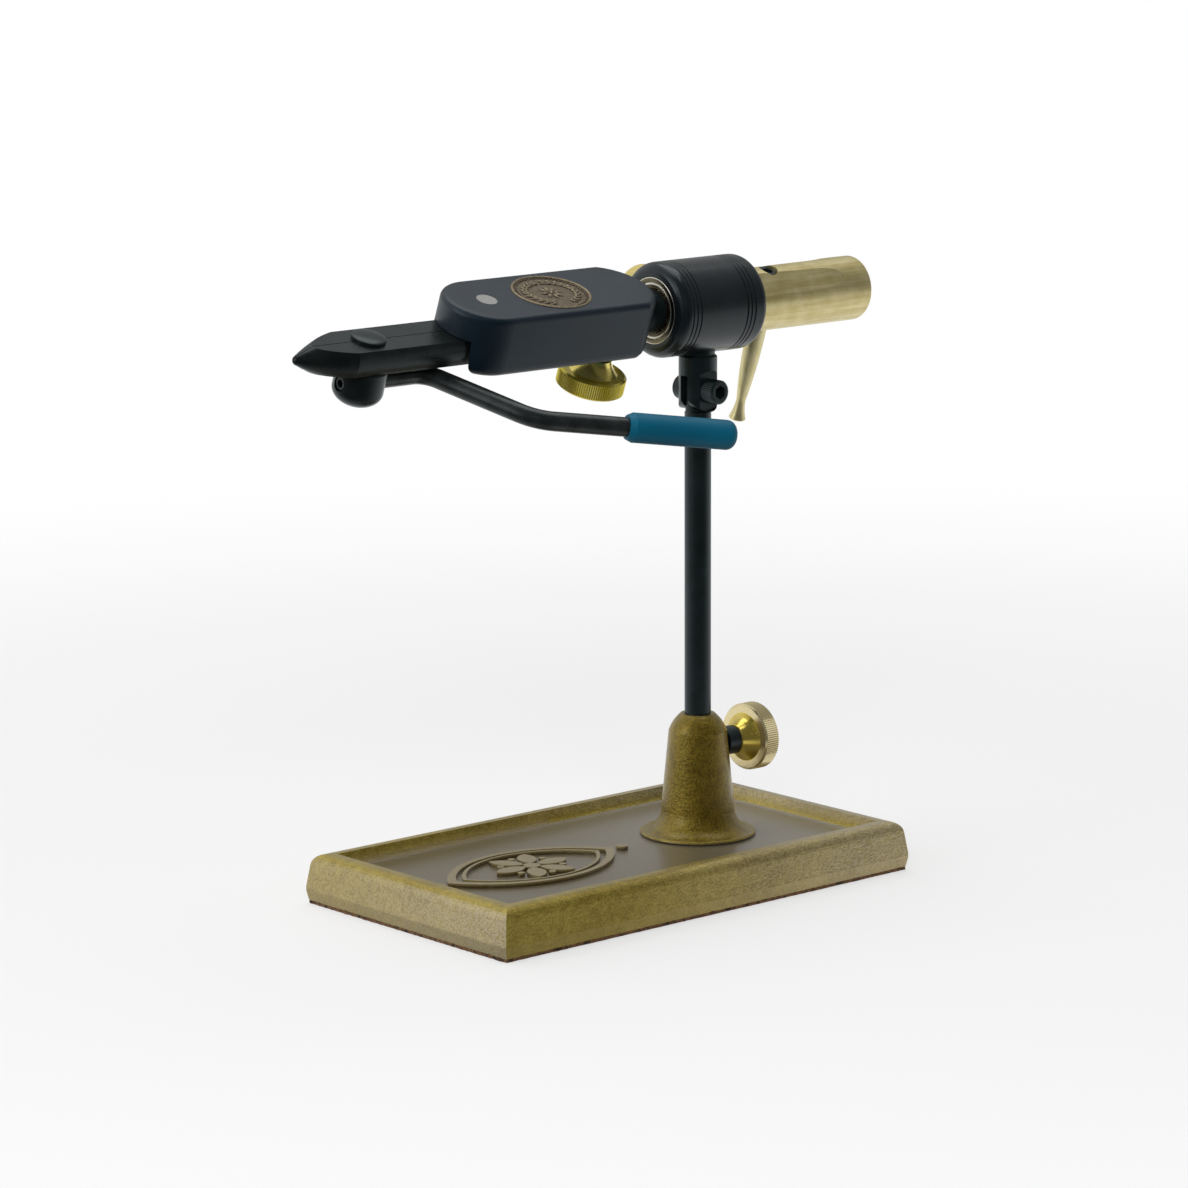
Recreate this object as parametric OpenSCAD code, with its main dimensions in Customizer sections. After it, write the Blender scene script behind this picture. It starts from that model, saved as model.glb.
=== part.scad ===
// Rotary fly tying vise on a cast pedestal base.
// X runs along the vise, jaws towards -X and the turning handle towards +X.
// The origin is on the stem's axis, in the plane that the base rests on.

/* [Overall] */
// Height of the rotary axis above the table
axis_h = 204.1; // [202:0.1:212]
// Roll of the jaw head about the rotary axis, as it is left standing
head_roll = 20; // [0:1:30]

/* [Base casting] */
// Length of the cast base along the vise
base_len = 190.1; // [184:0.1:200]
// Width of the cast base
base_w = 108.6; // [102:0.1:118]
// Height of the casting's rim above its pad
base_h = 16.6; // [15:0.1:18]
// Distance from the stem's axis to the base's rear edge
base_rear = 53.3; // [48:0.1:58]
// How far the sides lean in between their widest line and the top
side_draft = 1.8; // [1.2:0.1:2.4]
// How far the sides tuck in below their widest line
side_tuck = 0.8; // [0.3:0.1:1.2]
// Height of the widest line above the pad
widest_h = 4; // [3:0.1:5]
// Rounding of the rim's outer edge
rim_round = 4.5; // [3:0.1:4.8]
// Rounding of the base's upright corners
corner_round = 1; // [0.8:0.1:3]
// Distance from the base's widest line to the top of the tray's wall
rim_w = 8; // [7.4:0.1:11]
// Depth of the tray below the rim
tray_depth = 5.1; // [4:0.1:6]
// How far the tray's walls lean in towards its floor
tray_draft = 2; // [1:0.1:3]
// Radius of the hollow round between the tray's walls and its floor
tray_fillet = 3; // [2:0.1:3.6]
// Height of the raised ornament in the tray
relief_h = 1.3; // [0.8:0.1:1.8]
// Thickness of the pad under the casting
pad_h = 1.2; // [0.8:0.1:2]
// How far the pad stays inside the casting's lower edge
pad_inset = 0.2; // [0.1:0.1:0.6]

/* [Boss] */
// Radius where the boss spreads onto the tray
boss_foot_r = 20.9; // [19:0.1:22]
// Radius where the spread ends and the cone starts
boss_low_r = 13.2; // [12.4:0.1:14.5]
// Radius at the shoulder
boss_top_r = 10.5; // [9.8:0.1:11.2]
// Radius of the flat ring round the stem's hole
boss_ring_r = 6.2; // [5.6:0.1:7]
// Height of the rounded lip round the boss's foot
foot_lip_h = 1.4; // [1:0.1:2]
// Height of the spread above the tray
boss_foot_h = 10; // [8:0.1:12]
// Height of the shoulder above the tray
boss_shoulder_h = 38; // [37:0.1:40]
// Height of the whole boss above the tray
boss_h = 44.2; // [43:0.1:47]
// Height of the stem's clamping screw above the table
lock_h = 44.6; // [43:0.1:46]

/* [Stem] */
// Radius of the stem, a 3/8 inch rod
stem_r = 4.7625; // [4.5:0.05:5]
// Thickness of the tongue at the stem's top
tongue_t = 3.3; // [3:0.1:3.8]
// Distance from the rotary axis down to the tilt screw
tilt_drop = 29.9; // [28.5:0.1:31]
// Thickness of metal left under the stem's hole
bore_floor = 3.8; // [3:0.1:5]

/* [Tilt yoke] */
// Radius of the round yoke under the barrel
yoke_r = 6.85; // [6.6:0.05:7.2]
// How far the ears' round ends reach past the yoke's radius
ear_extra = 0.55; // [0.3:0.05:0.8]
// Distance from the middle plane to the flat that the screw's head bears on
spot_face = 5.5; // [5:0.1:5.7]
// Radius of that flat about the tilt screw
spot_r = 7.2; // [6.6:0.1:7.6]
// Radius of the tilt screw
tilt_screw_r = 2.5; // [2.3:0.05:2.7]
// Radius of the tilt screw's head
tilt_head_r = 4.35; // [4:0.05:4.6]
// Height of the tilt screw's head
tilt_head_h = 6.2; // [5.4:0.1:6.6]
// Radius of the round nut
tilt_nut_r = 4.4; // [4.2:0.05:4.6]
// Height of the round nut
tilt_nut_h = 3.6; // [3:0.1:4]

/* [Barrel] */
// Radius of the barrel
barrel_r = 16.95; // [16.8:0.05:18]
// Distance from the stem's axis forward to the barrel's front face
barrel_front = 22; // [21.5:0.1:23]
// Distance from the stem's axis back to the barrel's rear face
barrel_rear = 18.7; // [18.4:0.1:20]
// Rounding of the barrel's front rim
barrel_front_round = 3.8; // [2.4:0.1:4]
// Rounding of the barrel's rear rim
barrel_rear_round = 2.6; // [1.6:0.1:3]
// Depth of the turned grooves
groove_d = 0.35; // [0.2:0.05:0.5]
// Pitch of the three grooves in each group
groove_pitch = 1.85; // [1.6:0.05:2]
// Distance from the barrel's front face to the middle groove of the front group
groove_front = 6.65; // [6.2:0.05:8]
// Distance from the barrel's rear face to the middle groove of the rear group
groove_rear = 8.2; // [7:0.1:9]

/* [Bearings] */
// Outer radius of each ball bearing
race_out_r = 12; // [11.8:0.05:12.4]
// Width of each ball bearing
bearing_w = 6; // [5.6:0.1:6.4]
// Radius of the circle that the balls run on
ball_ring_r = 9; // [8.95:0.05:9.05]
// Radius of one ball
ball_r = 1.85; // [1.8:0.05:1.9]
// Thickness of the shield pressed into each bearing's open side
shield_t = 0.4; // [0.3:0.05:0.45]
// Number of balls in a bearing
ball_count = 11; // [8:1:11]
// Radius of the spindle, which the inner races sit on
spindle_r = 6; // [5.8:0.05:6.1]

/* [Jaw head] */
// Half the width of the head
head_half_w = 16; // [15.6:0.1:17]
// Height of the head's top above the rotary axis
head_top = 11.8; // [11:0.1:12.6]
// Depth of the head's underside below the rotary axis
head_bottom = 10.4; // [9.8:0.1:10.4]
// Distance from the stem's axis to the centre of the head's round nose
head_nose_x = 100.3; // [99.6:0.1:101]
// Distance from the stem's axis to the head's rearmost point
head_rear_x = 28.3; // [27:0.1:29]
// Radius of the head's rear end, seen from above
head_rear_r = 17.3; // [17.1:0.1:19]
// Rounding of the head's upper edges
head_top_round = 2.2; // [1.5:0.1:2.6]
// Rounding of the head's lower edges
head_low_round = 3.6; // [2.5:0.1:4]
// How much wider the jaw channel is at its mouth, on each side
channel_flare = 0.9; // [0.4:0.1:1.2]
// Distance from the stem's axis to the jaw pin
pin_x = 100.6; // [100:0.1:101.2]
// Radius of the jaw pin
pin_r = 3.7; // [3.5:0.05:3.9]
// Distance from the stem's axis to the middle of the oval medallion
medal_x = 71.8; // [69:0.1:74]
// Half the medallion's length
medal_half_len = 15.3; // [14:0.1:16]
// Half the medallion's width
medal_half_w = 12.6; // [12:0.1:13]
// Thickness of the medallion
medal_t = 1.4; // [1.2:0.1:1.8]

/* [Thumb knobs] */
// Radius of a thumb knob's knurled disc
knob_r = 12.15; // [11.4:0.05:12.4]
// Thickness of the knurled disc
knob_disc = 6.6; // [5.6:0.1:6.8]
// Length of the coned hub
knob_hub = 5.5; // [5:0.1:6]
// Radius of the hub at the disc
knob_hub_r = 8.7; // [8.2:0.1:9.2]
// Radius of the black shoulder that the hub seats on
shoulder_r = 5.2; // [5:0.1:5.4]
// Radius of the screw behind the shoulder
stud_r = 3; // [2.8:0.05:3.2]
// Distance from the stem's axis to the head's thumb knob
head_knob_x = 43; // [42:0.1:45]
// Distance from the head's underside to the head knob's hub
head_knob_gap = 5.1; // [4.6:0.1:6]
// Distance from the barrel to the drag knob's hub
drag_knob_gap = 1.2; // [1:0.1:2]
// Distance from the boss to the base knob's hub
base_knob_gap = 5.6; // [5:0.1:6.4]

/* [Handle] */
// Radius of the brass handle
handle_r = 11.65; // [11:0.05:12]
// Length of the brass handle
handle_len = 56.1; // [52:0.1:58]
// Distance from the stem's axis to the handle's set screw
set_screw_x = 30.4; // [30:0.1:32]
// Distance from the stem's axis to the finger lever
crank_x = 31.9; // [31:0.1:33]
// Turn of the finger lever and its flat about the rotary axis, from straight below
crank_turn = 3; // [0:0.5:6]
// Radius of the set screw
set_screw_r = 3.5; // [3.2:0.1:3.8]
// Distance from the rotary axis to the finger lever's end
crank_reach = 47.4; // [46:0.1:50]
// Radius of the finger lever at the handle
crank_root_r = 3.5; // [3.3:0.1:3.8]
// Radius of the finger lever's waist
crank_waist_r = 1.7; // [1.5:0.1:2.2]
// Radius of the finger lever's flared end
crank_end_r = 3.1; // [2.6:0.1:3.3]

/* [Jaws] */
// Radius of the bar that the jaws are turned from
jaw_r = 9.4; // [9.2:0.05:9.5]
// Depth of the bar's axis below the rotary axis
jaw_drop = 3.05; // [2.9:0.05:3.1]
// Half the height of the bar between its flats
jaw_half_h = 4.6; // [4.4:0.05:4.7]
// Distance from the stem's axis to the tip of the jaws
jaw_tip_x = 179.5; // [178:0.1:182]
// Length of the nose
nose_len = 20.6; // [19.8:0.1:22]
// How far the nose bulges out of a true cone
nose_bulge = 0.7; // [0.2:0.1:1]
// Radius of the nose's rounded tip
nose_tip_r = 1.8; // [1.5:0.1:2]
// Distance from the stem's axis to the cam
cam_x = 149.1; // [148.4:0.1:150]
// Radius of the domed button above the jaws
button_r = 5.95; // [5.6:0.05:6.2]
// Height of the button above the jaws
button_h = 1.9; // [1.6:0.1:2.2]

/* [Cam and lever] */
// Radius of the cam post, measured over its round ends
post_r = 4.7; // [4.6:0.05:4.75]
// Half the distance across the cam post's flats
post_flat = 2.2; // [2.15:0.05:2.25]
// Radius of the domed hub under the jaws
hub_r = 8.8; // [8.6:0.05:9.2]
// Length of the hub
hub_h = 14.5; // [13.6:0.1:15]
// Depth of the lever's plane below the rotary axis
lever_drop = 13.8; // [13.4:0.1:14.4]
// Radius of the lever rod
rod_r = 3.35; // [3.1:0.05:3.4]
// Distance from the cam to the first bend's corner
bend_a_reach = 28.1; // [26.5:0.1:29.5]
// Distance between the corners of the two bends
bend_b_reach = 43.5; // [42:0.1:45]
// Distance from the second bend's corner to the grip
grip_reach = 32.6; // [31:0.1:34]
// Angle between the rod's root and its middle stretch
bend_a_turn = 66.3; // [64:0.1:68]
// Angle that the second bend turns back
bend_b_turn = 44; // [42:0.1:45]
// Radius of the first bend
bend_a_r = 8.5; // [8:0.1:10]
// Radius of the second bend
bend_b_r = 16; // [12:0.5:18]
// Radius of the grip
grip_r = 5.15; // [4.9:0.05:5.4]
// Length of the grip
grip_len = 39.5; // [36:0.5:42]

/* [Hidden] */

$fn = 64;
// Overrun of every cut past the face that it opens
over = 0.5;
// Radial clearance of a shaft that turns or slides in its hole
run_c = 0.05;
// Radial clearance of a piece that is pressed, clamped or screwed in
seat_c = 0.02;
// End gap between pieces that turn past each other
end_c = 0.3;
// Small bevel on turned edges
bevel = 0.5;
// Steps in a rounded edge and in a long drawn curve
edge_steps = 7;
curve_steps = 12;

rim_z = pad_h + base_h;
tray_z = rim_z - tray_depth;
base_front = base_len - base_rear;
tilt_z = axis_h - tilt_drop;

bore_z = pad_h + bore_floor;
stem_foot_z = bore_z + end_c;

front_bearing_x = -barrel_front;
rear_bearing_x = barrel_rear - bearing_w;
// Radii of the bearing's two shoulders beside the balls, and of its ball tracks
race_land_share = 0.75;
track_c = 0.06;
outer_land_r = ball_ring_r + ball_r * race_land_share;
inner_land_r = ball_ring_r - ball_r * race_land_share;
cage_half_t = 0.7;
cage_w = 4.4;
shoulder_clear_r = outer_land_r + cage_half_t;
// Depth of a shield below the bearing's face, and the turned line round the outer race's face
shield_sunk = 0.25;
race_line_w = 0.6;
race_line_share = 0.29;
spacer_r = inner_land_r;

jaw_top = jaw_half_h - jaw_drop;
jaw_low = -jaw_half_h - jaw_drop;
jaw_flat_w = sqrt(jaw_r * jaw_r - jaw_half_h * jaw_half_h);
// Gap of each jaw from the middle plane, ahead of the pin and behind it
split_c = 0.03;
// Fine groove along the edges of the jaws' split: its half width and its depth
split_groove = 0.15;
split_groove_d = 0.22;
tail_relief = 0.5;
tail_len = 14;
// Room beside and above the jaws in the head's channel
channel_side_c = 0.7;
channel_top_c = 0.2;
channel_half_w = jaw_r + channel_side_c;
channel_top = jaw_top + channel_top_c;
channel_end_x = pin_x - tail_len - channel_side_c;

// Jaw spring, behind the pin
spring_x = pin_x - tail_len * 0.68;
spring_r = 1.8;
spring_wire_r = 0.45;
spring_turns = 5;
spring_pocket_r = 2.5;
spring_pocket_d = 3.4;
spring_half_len = 3.5;

// Room round the cam post in the jaws
post_side_c = 0.1;
post_end_c = 0.5;
post_shank_r = 3.5;
hub_c = 0.1;
hub_top = jaw_low - hub_c;
hub_low = hub_top - hub_h;
// Metal left in the hub below the post
post_floor = 3;
// Part of the hub's length that is straight, the rest being the dome
hub_straight_share = 0.6;
post_shank_low = hub_low + post_floor;

// Hex sockets: radius over the corners
socket_share = 0.58;
socket_depth_share = 0.5;

spindle_front_x = 57;
spindle_rear_x = 50;
handle_x = barrel_rear + end_c;
handle_end_x = handle_x + handle_len;

medal_pocket = medal_t - 0.4;
medal_rim = 1.1;

head_x0 = head_nose_x;
head_rear_cx = head_rear_x + head_rear_r;

drag_x = -0.5;

// Points of an arc, from angle a0 to a1
function arc(cx, cy, r, a0, a1, steps) =
    [for (i = [0:steps]) let (a = a0 + (a1 - a0) * i / steps) [cx + r * cos(a), cy + r * sin(a)]];

// Points of a gentle curve from p to q that stands out to the left of its chord by sag
function bow(p, q, sag, steps) =
    let (d = q - p, len = norm(d), n = [-d[1], d[0]] / len)
    [for (i = [0:steps]) let (t = i / steps) p + d * t + n * (4 * sag * t * (1 - t))];

// Points of a quarter of an ellipse about a centre
function quarter(cx, cy, rx, ry, a0, a1, steps) =
    [for (i = [0:steps]) let (a = a0 + (a1 - a0) * i / steps) [cx + rx * cos(a), cy + ry * sin(a)]];

function ellipse(rx, ry, steps) =
    [for (i = [0:steps - 1]) let (a = 360 * i / steps) [rx * cos(a), ry * sin(a)]];

// Rectangle with rounded corners, from its half lengths
function round_corners(half_x, half_y, r) =
    concat(arc(half_x - r, half_y - r, r, 0, 90, edge_steps),
           arc(r - half_x, half_y - r, r, 90, 180, edge_steps),
           arc(r - half_x, r - half_y, r, 180, 270, edge_steps),
           arc(half_x - r, r - half_y, r, 270, 360, edge_steps));

// Half outline of the base's side: tucked foot, widest line, leaning side and rounded rim
function side_points(half) =
    let (lean = atan(side_draft / (base_h - widest_h)),
         cx = half - side_draft - rim_round * tan((90 - lean) / 2))
    concat([[half - side_tuck, 0], [half, widest_h]],
           arc(cx, base_h - rim_round, rim_round, lean, 90, edge_steps));

function mirrored(points) = [for (i = [len(points) - 1:-1:0]) [-points[i][0], points[i][1]]];

// Upright section of the head: width half, from z low to z high, with its rounded corners
function section_points(half, low, high, r_low, r_high) =
    concat(arc(half - r_low, low + r_low, r_low, -90, 0, edge_steps),
           arc(half - r_high, high - r_high, r_high, 0, 90, edge_steps));

// Outline of a knurled rim: teeth that rise and fall round a circle
knurl_count = 98;
knurl_d = 0.24;
// How much of the teeth's depth lies outside the turned core, and how far they end from its faces
knurl_root_share = 0.9;
knurl_inset = 0.6;
// Depth of the shallow dish in a knob's outer face
knob_dish = 0.8;
function knurl(r) =
    [for (i = [0:2 * knurl_count - 1])
        let (a = 180 * i / knurl_count, rr = r - (i % 2) * knurl_d) [rr * cos(a), rr * sin(a)]];

// Places children on the rotary axis, rolled with the head
module in_head() {
    translate([0, 0, axis_h]) rotate([head_roll, 0, 0]) children();
}

// Turns a shape made along Z so that it runs along +X
module along_x() {
    rotate([0, 90, 0]) children();
}

// Turns a shape made along Z so that it runs along +Y
module along_y() {
    rotate([-90, 0, 0]) children();
}

module ring(r_out, r_in, h) {
    rotate_extrude() translate([r_in, 0]) square([r_out - r_in, h]);
}

// Hexagonal socket, cut down from z = 0
module hex_socket(r, depth) {
    translate([0, 0, -depth]) cylinder(r = r, h = depth + over, $fn = 6);
}

// Base casting

// How far the corners' rounded outline stays outside the plate's flat sides
corner_slack = 0.15;

module plate() {
    profile_x = side_points(base_len / 2);
    profile_y = side_points(base_w / 2);
    intersection() {
        translate([0, base_w / 2 + over, 0]) rotate([90, 0, 0])
            linear_extrude(base_w + 2 * over) polygon(concat(profile_x, mirrored(profile_x)));
        translate([-base_len / 2 - over, 0, 0]) rotate([90, 0, 90])
            linear_extrude(base_len + 2 * over) polygon(concat(profile_y, mirrored(profile_y)));
        translate([0, 0, -over]) linear_extrude(base_h + 2 * over)
            polygon(round_corners(base_len / 2 + corner_slack, base_w / 2 + corner_slack, corner_round));
    }
}

// Half outline of the tray: its floor, the hollow round and the leaning wall
function tray_points(half) =
    let (lean = atan(tray_draft / tray_depth),
         cx = half - tray_draft - tray_fillet * tan((90 - lean) / 2),
         grow = over * tray_draft / tray_depth)
    concat(arc(cx, tray_fillet, tray_fillet, -90, -lean, edge_steps),
           [[half + grow, tray_depth + over]]);

// Sunk tray, wider at the top by the lean of its walls
module tray_cut() {
    profile_x = tray_points(base_len / 2 - rim_w);
    profile_y = tray_points(base_w / 2 - rim_w);
    intersection() {
        translate([0, base_w / 2, 0]) rotate([90, 0, 0]) linear_extrude(base_w)
            polygon(concat(profile_x, mirrored(profile_x)));
        translate([-base_len / 2, 0, 0]) rotate([90, 0, 90]) linear_extrude(base_len)
            polygon(concat(profile_y, mirrored(profile_y)));
    }
}

// Boss for the stem: a rounded lip, the spread above it, a cone and its rounded shoulder
module boss_solid() {
    lip_r = foot_lip_h / 2;
    lip_x = boss_foot_r - lip_r;
    lip = arc(lip_x, lip_r, lip_r, -90, 75, edge_steps);
    foot = quarter(lip_x, boss_foot_h, lip_x - boss_low_r, boss_foot_h - foot_lip_h, -90, -180,
                   curve_steps);
    shoulder = bow([boss_top_r, boss_shoulder_h], [boss_ring_r, boss_h], -bevel, edge_steps);
    rotate_extrude() polygon(concat([[0, -over], [lip_x, -over]], lip, foot, shoulder, [[0, boss_h]]));
}

// Raised ornament: a double pointed oval frame round a rosette of six leaves with beads between them,
// and a bead at each end
relief_half_len = 38;
relief_half_w = 21;
relief_frame_w = 2;
leaf_len = 13;
leaf_half_w = 3.4;
bead_r = 2.2;
rosette_r = 3;
inner_frame_w = 0.9;
frame_gap = 1.4;
small_bead_r = 1.3;
small_bead_share = 0.62;

// Pointed oval between two arcs, half as long as half_len and half as wide as half_w
module pointed_oval(half_len, half_w) {
    r = (half_len * half_len + half_w * half_w) / (2 * half_w);
    intersection() {
        translate([0, r - half_w]) circle(r, $fn = 128);
        translate([0, half_w - r]) circle(r, $fn = 128);
    }
}

// Frame between a pointed oval and the next one inside it
module oval_frame(half_len, half_w, width) {
    difference() {
        pointed_oval(half_len, half_w);
        pointed_oval(half_len - 2 * width, half_w - width);
    }
}

module relief() {
    inset = relief_frame_w + frame_gap;
    linear_extrude(relief_h) {
        oval_frame(relief_half_len, relief_half_w, relief_frame_w);
        oval_frame(relief_half_len - 2 * inset, relief_half_w - inset, inner_frame_w);
        for (a = [30:60:330]) rotate(a) translate([leaf_len * small_bead_share + rosette_r, 0])
            circle(small_bead_r);
        for (a = [0:60:300]) rotate(a) translate([leaf_len / 2 + rosette_r, 0])
            pointed_oval(leaf_len / 2, leaf_half_w);
        circle(rosette_r);
        for (side = [-1, 1]) translate([side * (relief_half_len + bead_r + relief_frame_w), 0])
            circle(bead_r);
    }
}

module base_casting() {
    base_mid_x = base_rear - base_len / 2;
    relief_x = -(base_front + boss_foot_r) / 2;
    color("darkkhaki") difference() {
        union() {
            translate([base_mid_x, 0, pad_h]) difference() {
                plate();
                translate([0, 0, base_h - tray_depth]) tray_cut();
            }
            translate([0, 0, tray_z]) boss_solid();
            translate([relief_x, 0, tray_z]) relief();
        }
        translate([0, 0, bore_z]) cylinder(r = stem_r + run_c, h = rim_z + boss_h);
        translate([0, 0, lock_h]) along_x() cylinder(r = stud_r + run_c, h = boss_foot_r);
    }
}

module base_pad() {
    side = side_tuck + pad_inset;
    color("saddlebrown") translate([base_rear - base_len + side, side - base_w / 2, 0])
        cube([base_len - 2 * side, base_w - 2 * side, pad_h]);
}

// Thumb screws

// Black screw with its shoulder: the shoulder runs from z = 0 to gap, the tip reaches down by reach
module thumb_stud(gap, reach, bite) {
    rotate_extrude() polygon([[0, -reach], [stud_r - bevel, -reach], [stud_r, -reach + bevel],
                              [stud_r, 0], [shoulder_r, 0], [shoulder_r, gap - bevel],
                              [shoulder_r - bevel, gap], [stud_r, gap], [stud_r, gap + bite],
                              [0, gap + bite]]);
}

// Brass knob from its hub's small end at z = 0, with a blind hole for the screw
module thumb_knob(bite) {
    core_r = knob_r - knurl_d * knurl_root_share;
    top = knob_hub + knob_disc;
    difference() {
        union() {
            translate([0, 0, knob_hub + knurl_inset])
                linear_extrude(knob_disc - 2 * knurl_inset) polygon(knurl(knob_r));
            rotate_extrude() polygon(concat([[0, 0], [shoulder_r, 0]],
                bow([shoulder_r + bevel / 2, bevel / 2], [knob_hub_r, knob_hub], bevel, edge_steps),
                [[core_r - knurl_inset, knob_hub], [core_r, knob_hub + knurl_inset],
                 [core_r, top - knurl_inset], [core_r - knurl_inset, top], [knob_hub_r, top],
                 [knob_hub_r - knob_dish, top - knob_dish], [0, top - knob_dish]]));
        }
        translate([0, 0, -over]) cylinder(r = stud_r + run_c, h = bite + run_c + over);
    }
}

stud_bite = 6;

// Radius of the boss at a height above the table
function boss_r_at(z) = boss_top_r + (boss_low_r - boss_top_r)
    * (tray_z + boss_shoulder_h - z) / (boss_shoulder_h - boss_foot_h);
base_seat_x = boss_r_at(lock_h - shoulder_r) + run_c;

module place_base_lock() {
    translate([base_seat_x, 0, lock_h]) along_x() children();
}

module base_lock_stud() {
    color([0.12, 0.12, 0.13]) place_base_lock()
        thumb_stud(base_knob_gap, base_seat_x - stem_r - run_c, stud_bite);
}

module base_lock_knob() {
    color("goldenrod") place_base_lock() translate([0, 0, base_knob_gap + run_c])
        thumb_knob(stud_bite);
}

module place_drag() {
    translate([drag_x, barrel_r, axis_h]) along_y() children();
}

// Length of the soft shoe between the screw and the spacer
shoe_len = 3;

module drag_stud() {
    color([0.12, 0.12, 0.13]) place_drag() translate([0, 0, bevel])
        thumb_stud(drag_knob_gap - bevel, barrel_r + bevel - spacer_r - run_c - shoe_len - run_c,
                   stud_bite);
}

module drag_knob() {
    color("goldenrod") place_drag() translate([0, 0, drag_knob_gap + run_c]) thumb_knob(stud_bite);
}

module drag_shoe() {
    color("ivory") translate([drag_x, spacer_r + run_c, axis_h]) along_y()
        cylinder(r = stud_r, h = shoe_len);
}

module place_head_lock() {
    in_head() translate([-head_knob_x, 0, -head_bottom]) rotate([180, 0, 0]) children();
}

module head_lock_stud() {
    color([0.12, 0.12, 0.13]) place_head_lock() translate([0, 0, bevel])
        thumb_stud(head_knob_gap - bevel, head_bottom + bevel - spindle_r - run_c, stud_bite);
}

module head_lock_knob() {
    color("goldenrod") place_head_lock() translate([0, 0, head_knob_gap + run_c])
        thumb_knob(stud_bite);
}

// Stem

// Distance from the tilt screw's axis down to the shoulder under the tongue
tongue_drop = 8;

module stem() {
    color([0.1, 0.11, 0.12]) difference() {
        union() {
            translate([0, 0, stem_foot_z]) rotate_extrude()
                polygon([[0, 0], [stem_r - bevel, 0], [stem_r, bevel],
                         [stem_r, tilt_z - tongue_drop - stem_foot_z],
                         [0, tilt_z - tongue_drop - stem_foot_z]]);
            intersection() {
                translate([0, 0, tilt_z - tongue_drop - bevel])
                    cylinder(r = stem_r, h = tongue_drop + bevel);
                translate([-stem_r, -tongue_t / 2, tilt_z - tongue_drop - bevel])
                    cube([2 * stem_r, tongue_t, tongue_drop + bevel]);
            }
            translate([0, -tongue_t / 2, tilt_z]) along_y() cylinder(r = stem_r - run_c, h = tongue_t);
        }
        translate([0, -stem_r, tilt_z]) along_y() cylinder(r = tilt_screw_r + run_c, h = 2 * stem_r);
    }
}

// Tilt joint

slot_half = tongue_t / 2 + run_c;
slot_top_c = 0.6;
ear_r = yoke_r + ear_extra;
// Step in from the yoke's side to the neck that meets the barrel, and how far below it the step ends
neck_step = 0.8;
neck_gap = 0.25;
spigot_r = 4;
spigot_h = 4;

module yoke() {
    neck_z = tilt_drop - barrel_r - neck_gap;
    color([0.13, 0.14, 0.15]) difference() {
        union() {
            intersection() {
                translate([0, 0, tilt_z]) rotate_extrude()
                    polygon([[0, -ear_r - over], [yoke_r, -ear_r - over], [yoke_r, neck_z - neck_step],
                             [yoke_r - neck_step, neck_z], [yoke_r - neck_step, tilt_drop - spigot_r],
                             [0, tilt_drop - spigot_r]]);
                union() {
                    translate([-ear_r, -ear_r, tilt_z]) cube([2 * ear_r, 2 * ear_r, tilt_drop]);
                    translate([0, -ear_r, tilt_z]) along_y() cylinder(r = ear_r, h = 2 * ear_r);
                }
            }
            translate([0, 0, axis_h - barrel_r - bevel]) cylinder(r = spigot_r, h = spigot_h + bevel);
        }
        difference() {
            translate([-barrel_r, 0, axis_h]) along_x() cylinder(r = barrel_r, h = 2 * barrel_r, $fn = 128);
            translate([0, 0, axis_h - barrel_r - bevel]) cylinder(r = spigot_r, h = spigot_h + bevel);
        }
        translate([-ear_r - over, -slot_half, tilt_z - ear_r - over])
            cube([2 * (ear_r + over), 2 * slot_half, ear_r + over + stem_r + slot_top_c]);
        translate([0, -yoke_r - over, tilt_z]) along_y()
            cylinder(r = spot_r, h = yoke_r + over - spot_face);
        translate([0, spot_face, tilt_z]) along_y()
            cylinder(r = tilt_nut_r + run_c, h = yoke_r + over - spot_face);
        translate([0, -yoke_r, tilt_z]) along_y() cylinder(r = tilt_screw_r + seat_c, h = 2 * yoke_r);
    }
}

module tilt_screw() {
    shank = 2 * spot_face + tilt_nut_h;
    color([0.09, 0.09, 0.1]) translate([0, -spot_face, tilt_z]) along_y() difference() {
        rotate_extrude() polygon([[0, -tilt_head_h], [tilt_head_r - bevel, -tilt_head_h],
                                  [tilt_head_r, bevel - tilt_head_h], [tilt_head_r, 0],
                                  [tilt_screw_r, 0], [tilt_screw_r, shank - bevel],
                                  [tilt_screw_r - bevel, shank], [0, shank]]);
        translate([0, 0, -tilt_head_h]) rotate([180, 0, 0])
            hex_socket(tilt_head_r * socket_share, tilt_head_h * socket_depth_share);
    }
}

module tilt_nut() {
    color([0.09, 0.09, 0.1]) translate([0, spot_face, tilt_z]) along_y() rotate_extrude()
        polygon([[tilt_screw_r + seat_c, 0], [tilt_nut_r, 0], [tilt_nut_r, tilt_nut_h - bevel],
                 [tilt_nut_r - bevel, tilt_nut_h], [tilt_screw_r + seat_c, tilt_nut_h]]);
}

// Barrel, with its bearing seats, its drag screw hole and the hole for the yoke's spigot

// Outline of three grooves about a middle one at x
function groove_points(x) =
    [for (i = [-1:1]) each [[barrel_r, x + i * groove_pitch - groove_d],
                            [barrel_r - groove_d, x + i * groove_pitch],
                            [barrel_r, x + i * groove_pitch + groove_d]]];

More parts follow.
